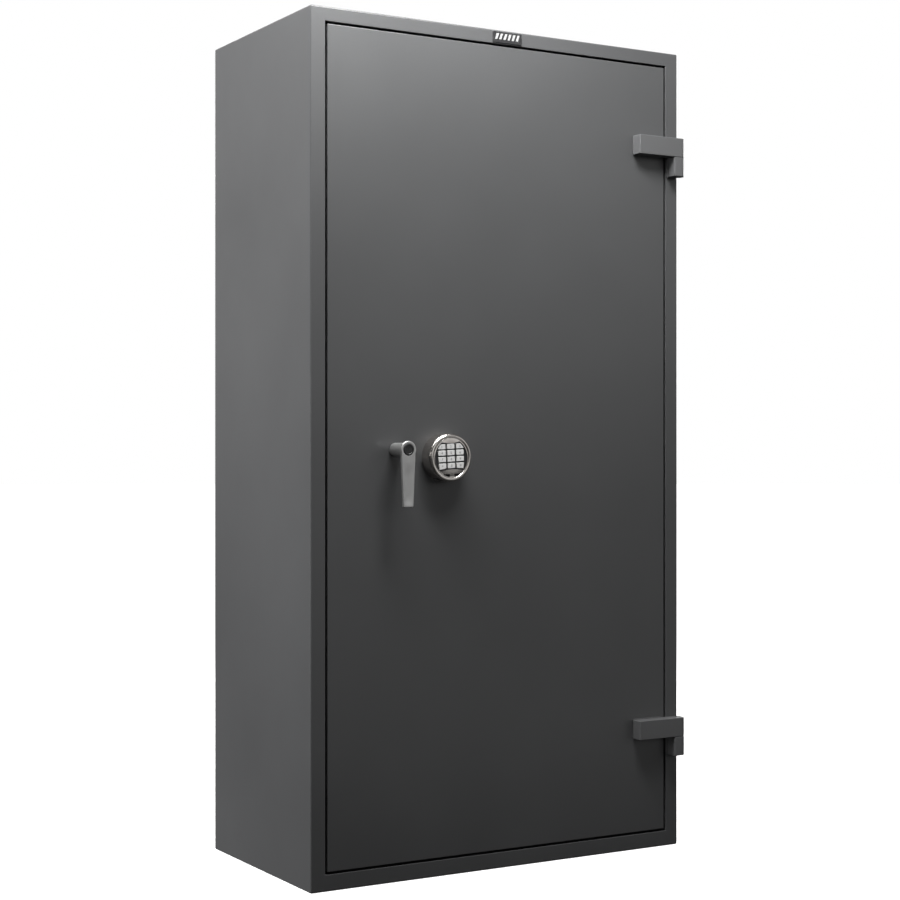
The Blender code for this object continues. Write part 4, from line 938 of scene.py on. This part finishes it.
def make_bar_work():
    """The bar and head from the back (0) to the front, with rounded edges and a dished front."""
    corner = 0.0026
    dish_start, dish_depth, dish_width = 0.0190, 0.0009, 0.84
    outline = arc((0.0, 0.0), HEAD_RADIUS, -25, 205, 44)
    outline += [(-TOP_HALF, -HEAD_RADIUS)]
    outline += arc((-TIP_HALF + corner, -TIP_DROP + corner), corner, 180, 270, 6)
    outline += arc((TIP_HALF - corner, -TIP_DROP + corner), corner, 270, 360, 6)
    outline += [(TOP_HALF, -HEAD_RADIUS)]
    bar = plate_work(outline, 0.0, BAR_THICKNESS)
    soften(bar, 0.0016, 4, 50, all_ends(lambda end: end.z > BAR_THICKNESS - 1e-6))
    soften(bar, 0.0028, 4, 50, all_ends(lambda end: end.z < 1e-6))
    for index in range(20):
        cut(bar, (0.0, -dish_start - 0.0042 * index, 0.0), (0.0, 1.0, 0.0))
    slope = (TOP_HALF - TIP_HALF) / (TIP_DROP - HEAD_RADIUS)
    below = 0.0005 - dish_start
    for share in (-dish_width, -0.72, -0.55, -0.3, 0.0, 0.3, 0.55, 0.72, dish_width):
        cut(bar, (share * TOP_HALF, -HEAD_RADIUS, 0.0), (1.0, -share * slope, 0.0), below)
    for vertex in bar.verts:
        drop = -vertex.co.y
        if vertex.co.z > BAR_THICKNESS - 1e-6 and drop > dish_start:
            share = min(1.0, abs(vertex.co.x) / blade_half(drop) / dish_width)
            into = eased((drop - dish_start) / 0.030)
            out = eased((TIP_DROP - drop - 0.002) / 0.012)
            vertex.co.z -= dish_depth * into * out * (1.0 - share**2)
    return bar


def eased(value):
    """A value held between 0 and 1, with a gentle start and end."""
    held = min(1.0, max(0.0, value))
    return 3 * held**2 - 2 * held**3


def cut(work, point, normal, below=None):
    """Split faces along a plane, or only those of them that lie below a level in Y."""
    if below is None:
        geometry = work.verts[:] + work.edges[:] + work.faces[:]
    else:
        faces = [face for face in work.faces if face.calc_center_median().y < below]
        edges = {edge for face in faces for edge in face.edges}
        verts = {vert for face in faces for vert in face.verts}
        geometry = list(verts) + list(edges) + faces
    bmesh.ops.bisect_plane(work, geom=geometry, dist=1e-7, plane_co=point, plane_no=normal)


def handle_place():
    """The handle's own frame: X to the right, Y up, Z out of the door."""
    turn = turned(90, "X")
    return moved((HANDLE_AXIS.x, FRONT_Y, HANDLE_AXIS.z)) @ turn


def make_neck_work(reach):
    """The conical neck from the door into the back of the head."""
    wide, narrow = 0.0135, 0.0120
    end = reach - BAR_THICKNESS / 2
    head = end - BAR_THICKNESS / 2
    profile = [(0.0, GAP), (narrow - 0.0008, GAP), (narrow, GAP + 0.0008), (narrow, head - 0.014)]
    profile += [(narrow + 0.0004, head - 0.009), (wide - 0.0004, head - 0.004), (wide, head - 0.002)]
    profile += [(wide, end), (0.0, end)]
    return placed(turned_work(profile, 56), handle_place())


def make_lever_cap():
    """The black cap: a rounded ring round a sunk disc with six shallow lobes and two small bars."""
    low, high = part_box("handle_cap")
    radius = (high.x - low.x) / 2
    back, front = FRONT_Y - high.y, FRONT_Y - low.y
    profile = [(0.0, back), (radius, back), (radius, front - 0.0013), (radius - 0.0004, front - 0.0005)]
    profile += [(radius - 0.0012, front), (radius - 0.0026, front), (radius - 0.0032, front - 0.0007)]
    profile += [(0.0, front - 0.0009)]
    works = [turned_work(profile, 64)]
    start, end = front - 0.0018, front - 0.0004
    for x, y in arc((0.0, 0.0), 0.0048, 0, 300, 5):
        works.append(rod_work((x, y, start), (x, y, end), 0.0012, 0.0009, 20))
    for y in (-0.0013, 0.0013):
        works.append(rounded_box((-0.0006, y - 0.0008, start), (0.0006, y + 0.0008, end), 0.0002, 2))
    piece("lever_cap", placed(joined(works), handle_place()), BLACK, "handle", ["handle_cap"])


# Keypad

KEYPAD_RADIUS = 0.044
RIM_HEIGHT = 0.0322
FIELD_RADIUS = 0.0340
FACE_BACK = 0.0265
FACE_FRONT = 0.0293
LENS_RADIUS = 0.078
FIELD_TOP = 0.0262
FIELD_BOTTOM = 0.0209
KEY_GRID_RISE = 0.0030
WINDOW_INNER = 0.0046
WINDOW_REACH = 0.0349
KEY_HALF_WIDTH = 0.00765
KEY_HALF_HEIGHT = 0.0045
KEY_BACK = 0.0262
KEY_FRONT = 0.0312
KEY_LABELS = ("123", "456", "789", "*0#")
KEY_NAMES = {"*": "key_star", "#": "key_hash"}


def keypad_place():
    """The keypad's own frame: X to its right, Y up along its drawer, Z out of the door."""
    down = Vector(JOINTS["battery_drawer_slide"]["axis"])
    centre = middle("keypad_base")
    turn = turned(90, "X") @ Matrix.Rotation(asin(down.x), 4, "Z")
    return moved((centre.x, FRONT_Y, centre.z)) @ turn


KEYPAD_PLACE = keypad_place()


def lens_ends(edge, rim):
    """Angle where a segment's edge meets a circle about the keypad, and half the edge's own angle."""
    centre = edge + LENS_RADIUS
    meet_y = (rim**2 - LENS_RADIUS**2 + centre**2) / (2 * centre)
    meet_x = sqrt(rim**2 - meet_y**2)
    return degrees(atan2(meet_y, meet_x)), degrees(asin(meet_x / LENS_RADIUS))


def field_outline():
    """The opening for the keys: between the two chrome segments, and inside the ring."""
    upper_start, upper_half = lens_ends(FIELD_TOP, FIELD_RADIUS)
    lower_start, lower_half = lens_ends(FIELD_BOTTOM, FIELD_RADIUS)
    upper_centre, lower_centre = (0.0, FIELD_TOP + LENS_RADIUS), (0.0, -FIELD_BOTTOM - LENS_RADIUS)
    points = arc(upper_centre, LENS_RADIUS, -90 + upper_half, -90 - upper_half, 24)
    points += arc((0.0, 0.0), FIELD_RADIUS, 180 - upper_start, 180 + lower_start, 32)[1:-1]
    points += arc(lower_centre, LENS_RADIUS, 90 + lower_half, 90 - lower_half, 24)
    points += arc((0.0, 0.0), FIELD_RADIUS, -lower_start, upper_start, 32)[1:-1]
    return points


def window_outline(side):
    """Opening over one of the drawer's grips, pointed where it meets the ring."""
    start = -degrees(acos(WINDOW_INNER / WINDOW_REACH))
    points = arc((0.0, 0.0), WINDOW_REACH, start, -58.0, 14) + [(WINDOW_INNER, -0.0292)]
    return [(side * x, y) for x, y in points]


def make_keypad_ring():
    """The chromed housing: rim and segments in one turned front, with its openings cut through."""
    wall, crest, shoulder = KEYPAD_RADIUS - 0.003, 0.0388, 0.0245
    profile = [(0.0, 0.0315), (0.0260, 0.0315), (0.0300, 0.0314), (0.0335, 0.0312), (0.0352, 0.0309)]
    profile += [(0.0357, 0.0305), (0.0361, 0.0306), (0.0366, 0.0312), (0.0374, 0.0317)]
    for x, y in arc((0.0, 0.0), 1.0, 90, 0, 16):
        profile.append((crest + (KEYPAD_RADIUS - crest) * x, shoulder + (0.0319 - shoulder) * y))
    profile += [(KEYPAD_RADIUS, GAP + 0.0004), (KEYPAD_RADIUS - 0.0004, GAP), (wall, GAP)]
    profile += [(wall, FACE_BACK - 0.002), (wall - 0.002, FACE_BACK), (0.0, FACE_BACK)]
    work = turned_work(profile, 144)
    field = plate_work(field_outline(), FACE_BACK - 0.001, RIM_HEIGHT + 0.001)
    mouth = box_work((-0.0258, -KEYPAD_RADIUS - 0.002, 0.0056), (0.0258, -0.020, 0.0251))
    windows = [plate_work(window_outline(side), FACE_BACK - 0.006, RIM_HEIGHT + 0.001) for side in (-1, 1)]
    work = combined(work, [field, mouth] + windows)

    def on_opening(end):
        return end.z > FACE_FRONT + 0.0003 and hypot(end.x, end.y) < WINDOW_REACH + 2e-4

    work = placed(soften(work, 0.0006, 3, 50, all_ends(on_opening)), KEYPAD_PLACE)
    piece("keypad_ring", work, CHROME, "door", ["keypad_housing"], smooth=32)


def key_outline(row, column):
    """Outline of a key about its centre, with softly rounded corners."""
    wide, high = KEY_HALF_WIDTH, KEY_HALF_HEIGHT
    side = column - 1
    points = [(wide, -high), (wide, high), (-wide, high), (-wide, -high)]
    if row == 0 and side:
        points = [(wide, -high), (wide, high - 0.0075), (wide - 0.0068, high), (-wide, high), (-wide, -high)]
    if row == 3 and side:
        points = [(wide - 0.0018, -high - 0.0020), (wide, high), (-wide, high), (-wide, -high)]
    if side < 0:
        points = [(-x, y) for x, y in reversed(points)]
    return points


def make_keys():
    """Twelve keys in four rows of three."""
    for row, labels in enumerate(KEY_LABELS):
        for column, label in enumerate(labels):
            make_key(row, column, KEY_NAMES.get(label, "key_" + label), label)


def make_key(row, column, name, label):
    """A key with rounded corners, a softly domed top and its printed sign."""
    work = plate_work(key_outline(row, column), KEY_BACK, KEY_FRONT)
    soften(work, 0.0007, 3, 30, lambda edge: abs(edge.verts[0].co.z - edge.verts[1].co.z) > 0.001)
    soften(work, 0.0006, 3, 50, all_ends(lambda end: end.z > KEY_FRONT - 1e-5))
    pitch_x, pitch_y = 0.0188, 0.0116
    x, y = (column - 1) * pitch_x, KEY_GRID_RISE + (1.5 - row) * pitch_y
    place = KEYPAD_PLACE @ moved((x, y, 0.0))
    key = piece(name + "_cap", placed(work, place), KEYS, name, [name])
    key.data.materials.append(KEY_INK)
    sign = sign_mesh(label)
    sign.transform(place @ moved((0.0, 0.0, KEY_FRONT)))
    whole = bmesh.new()
    whole.from_mesh(key.data)
    plain = len(whole.faces)
    whole.from_mesh(sign)
    whole.faces.ensure_lookup_table()
    for face in whole.faces[plain:]:
        face.material_index = 1
        face.smooth = False
    whole.to_mesh(key.data)
    whole.free()
    bpy.data.meshes.remove(sign)


def sign_mesh(label):
    """A digit, star or hash as a thin raised print, centred on the origin."""
    curve = bpy.data.curves.new("sign", "FONT")
    curve.body = label
    curve.size = 0.0062
    curve.align_x = "CENTER"
    curve.extrude = 0.00006
    curve.offset = 0.00005
    curve.resolution_u = 3
    holder = add_object("sign", curve)
    depsgraph = bpy.context.evaluated_depsgraph_get()
    mesh = bpy.data.meshes.new_from_object(holder.evaluated_get(depsgraph))
    bpy.data.objects.remove(holder)
    bpy.data.curves.remove(curve)
    low, high = extent(v.co for v in mesh.vertices)
    mesh.transform(moved((-(low.x + high.x) / 2, -(low.y + high.y) / 2, 0.00002)))
    return mesh


def make_keypad():
    make_keypad_ring()
    refined("keypad_face", BLACK, "door", 0.00025, 2, 60)
    make_keys()
    finish_node("keypad_base", BLACK)
    refined("battery_drawer", BLACK, "drawer", 0.0003, 2, 60)
    make_battery()


def make_battery():
    """A 9 V block: rounded sleeve, crimped metal ends and the two snap contacts."""
    inverse = KEYPAD_PLACE.inverted()
    low, high = extent(inverse @ v.co for v in frame["nodes"]["battery"].data.vertices)
    sleeve_low, sleeve_high = low + Vector((0.0006, 0, 0)), high - Vector((0.0030, 0, 0))
    sleeve = soften(box_work(sleeve_low, sleeve_high), 0.0016, 4)
    piece("battery_sleeve", placed(sleeve, KEYPAD_PLACE), SLEEVE, "drawer", ["battery"])
    centre = (low + high) / 2
    caps = []
    for start, end in ((low.x, low.x + 0.0009), (high.x - 0.0034, high.x - 0.0022)):
        caps.append(rounded_box((start, low.y, low.z), (end, high.y, high.z), 0.0003, 2))
    start, end = high.x - 0.0024, high.x - 0.0002
    for y, radius in ((centre.y - 0.0063, 0.0028), (centre.y + 0.0063, 0.0036)):
        caps.append(rod_work((start, y, centre.z), (end, y, centre.z), radius, radius * 0.92, 28))
    piece("battery_contacts", placed(joined(caps), KEYPAD_PLACE), ZINC, "drawer")


# Studio


def make_camera():
    data = bpy.data.cameras.new("camera")
    data.lens = CAMERA_LENS
    data.sensor_width = 36.0
    camera = add_object("camera", data)
    camera.location = CAMERA_PLACE
    camera.rotation_euler = (radians(90) + CAMERA_PITCH, 0.0, -CAMERA_YAW)
    bpy.context.scene.camera = camera


def make_floor():
    """A wide pale floor that fades into the white surroundings."""
    work = bmesh.new()
    bmesh.ops.create_circle(work, cap_ends=True, segments=96, radius=40.0)
    floor = to_object(placed(work, moved((0, 0, -0.0006))), "studio_floor")
    skin = Surface("pale_floor", Specular_IOR_Level=0.1, Roughness=0.9)
    skin.colour(skin.tone(skin.noise(6, 4), 0.3, 0.7, (0.90, 0.90, 0.90), (0.93, 0.93, 0.93)))
    reach = skin.node("ShaderNodeVectorMath", [(0, skin.place)], operation="LENGTH")
    glow = skin.spread(reach.outputs["Value"], 0.80, 1.0, 0.5, 3.0)
    skin.feed(skin.shader.inputs["Emission Color"], (1, 1, 1, 1))
    skin.feed(skin.shader.inputs["Emission Strength"], glow)
    floor.data.materials.append(skin.material)
    floor.visible_glossy = False
    floor.visible_diffuse = False


def make_world():
    """White to the camera; to everything else a soft bright band in front, behind and at the right."""
    world = bpy.data.worlds.new("studio")
    bpy.context.scene.world = world
    world.use_nodes = True
    nodes = Nodes(world.node_tree)
    nodes.tree.nodes.clear()

    def step(value, start, end):
        inputs = [(0, value), (1, start), (2, end), (3, 0.0), (4, 1.0)]
        return nodes.node("ShaderNodeMapRange", inputs, interpolation_type="SMOOTHSTEP").outputs[0]

    def product(first, second):
        return nodes.calculate("MULTIPLY", first, second)

    direction = nodes.node("ShaderNodeTexCoord").outputs["Generated"]
    x, y, z = nodes.node("ShaderNodeSeparateXYZ", [(0, direction)]).outputs
    band = product(step(z, -0.02, 0.06), step(z, 0.62, 0.42))
    depth = nodes.calculate("ABSOLUTE", y)
    ends = nodes.node("ShaderNodeMapRange", [(0, depth), (1, 0.0), (2, 0.4), (3, 0.35), (4, 1.0)])
    bright = product(product(band, step(x, -0.60, -0.40)), ends.outputs[0])
    level = nodes.calculate("MULTIPLY_ADD", bright, 0.68, 0.03)
    light = nodes.node("ShaderNodeBackground", [("Color", level)]).outputs[0]
    white = nodes.node("ShaderNodeBackground", [("Color", (1, 1, 1, 1))]).outputs[0]
    camera_ray = nodes.node("ShaderNodeLightPath").outputs["Is Camera Ray"]
    blend = nodes.node("ShaderNodeMixShader", [(0, camera_ray), (1, light), (2, white)])
    nodes.node("ShaderNodeOutputWorld", [(0, blend.outputs[0])])


def add_light(name, place, target, size, power, mirrored=True, spread=True):
    """A soft rectangular light that faces a point; glossy or matt surfaces may be left out."""
    data = bpy.data.lights.new(name, "AREA")
    data.shape = "RECTANGLE"
    data.size, data.size_y = size
    data.energy = power
    lamp = add_object(name, data)
    lamp.location = place
    lamp.visible_camera = False
    lamp.visible_glossy = mirrored
    lamp.visible_diffuse = spread
    lamp.rotation_euler = (Vector(target) - Vector(place)).to_track_quat("-Z", "Y").to_euler()


def make_studio():
    """Soft lights above, at the left, at the right and behind, and a glow on the metal from the floor."""
    bpy.context.scene.view_settings.view_transform = "Standard"
    make_world()
    make_floor()
    add_light("above_front", (-0.3, -0.6, 2.1), (0.0, -0.2, 0.9), (1.2, 0.3), 52.5)
    add_light("left_low", (-2.6, 0.3, 0.6), (-0.4, 0.0, 0.7), (1.6, 1.0), 90.0, False)
    add_light("left_top", (-1.4, 0.3, 2.4), (-0.4, 0.0, 0.9), (1.2, 0.8), 20.0)
    add_light("right_back", (2.6, 0.6, 1.5), (0.4, 0.1, 0.8), (1.2, 1.6), 32.0)
    add_light("behind", (0.8, 2.6, 2.0), (0.0, 0.2, 0.8), (1.8, 1.2), 55.0)
    add_light("floor_glow", (0.8, -1.7, 0.02), (0.8, -1.7, 1.0), (1.6, 1.4), 3.2, True, False)


make_camera()
make_studio()
make_casing()
make_back()
make_name_plate()
make_hinges()
make_frame_details()
make_shelf()
make_barrel_rack()
make_floor_mat()
make_anchor_plugs()
make_door_panel()
make_cover()
make_bolts()
make_boltwork()
make_lever()
make_lever_cap()
make_keypad()

bpy.context.view_layer.update()
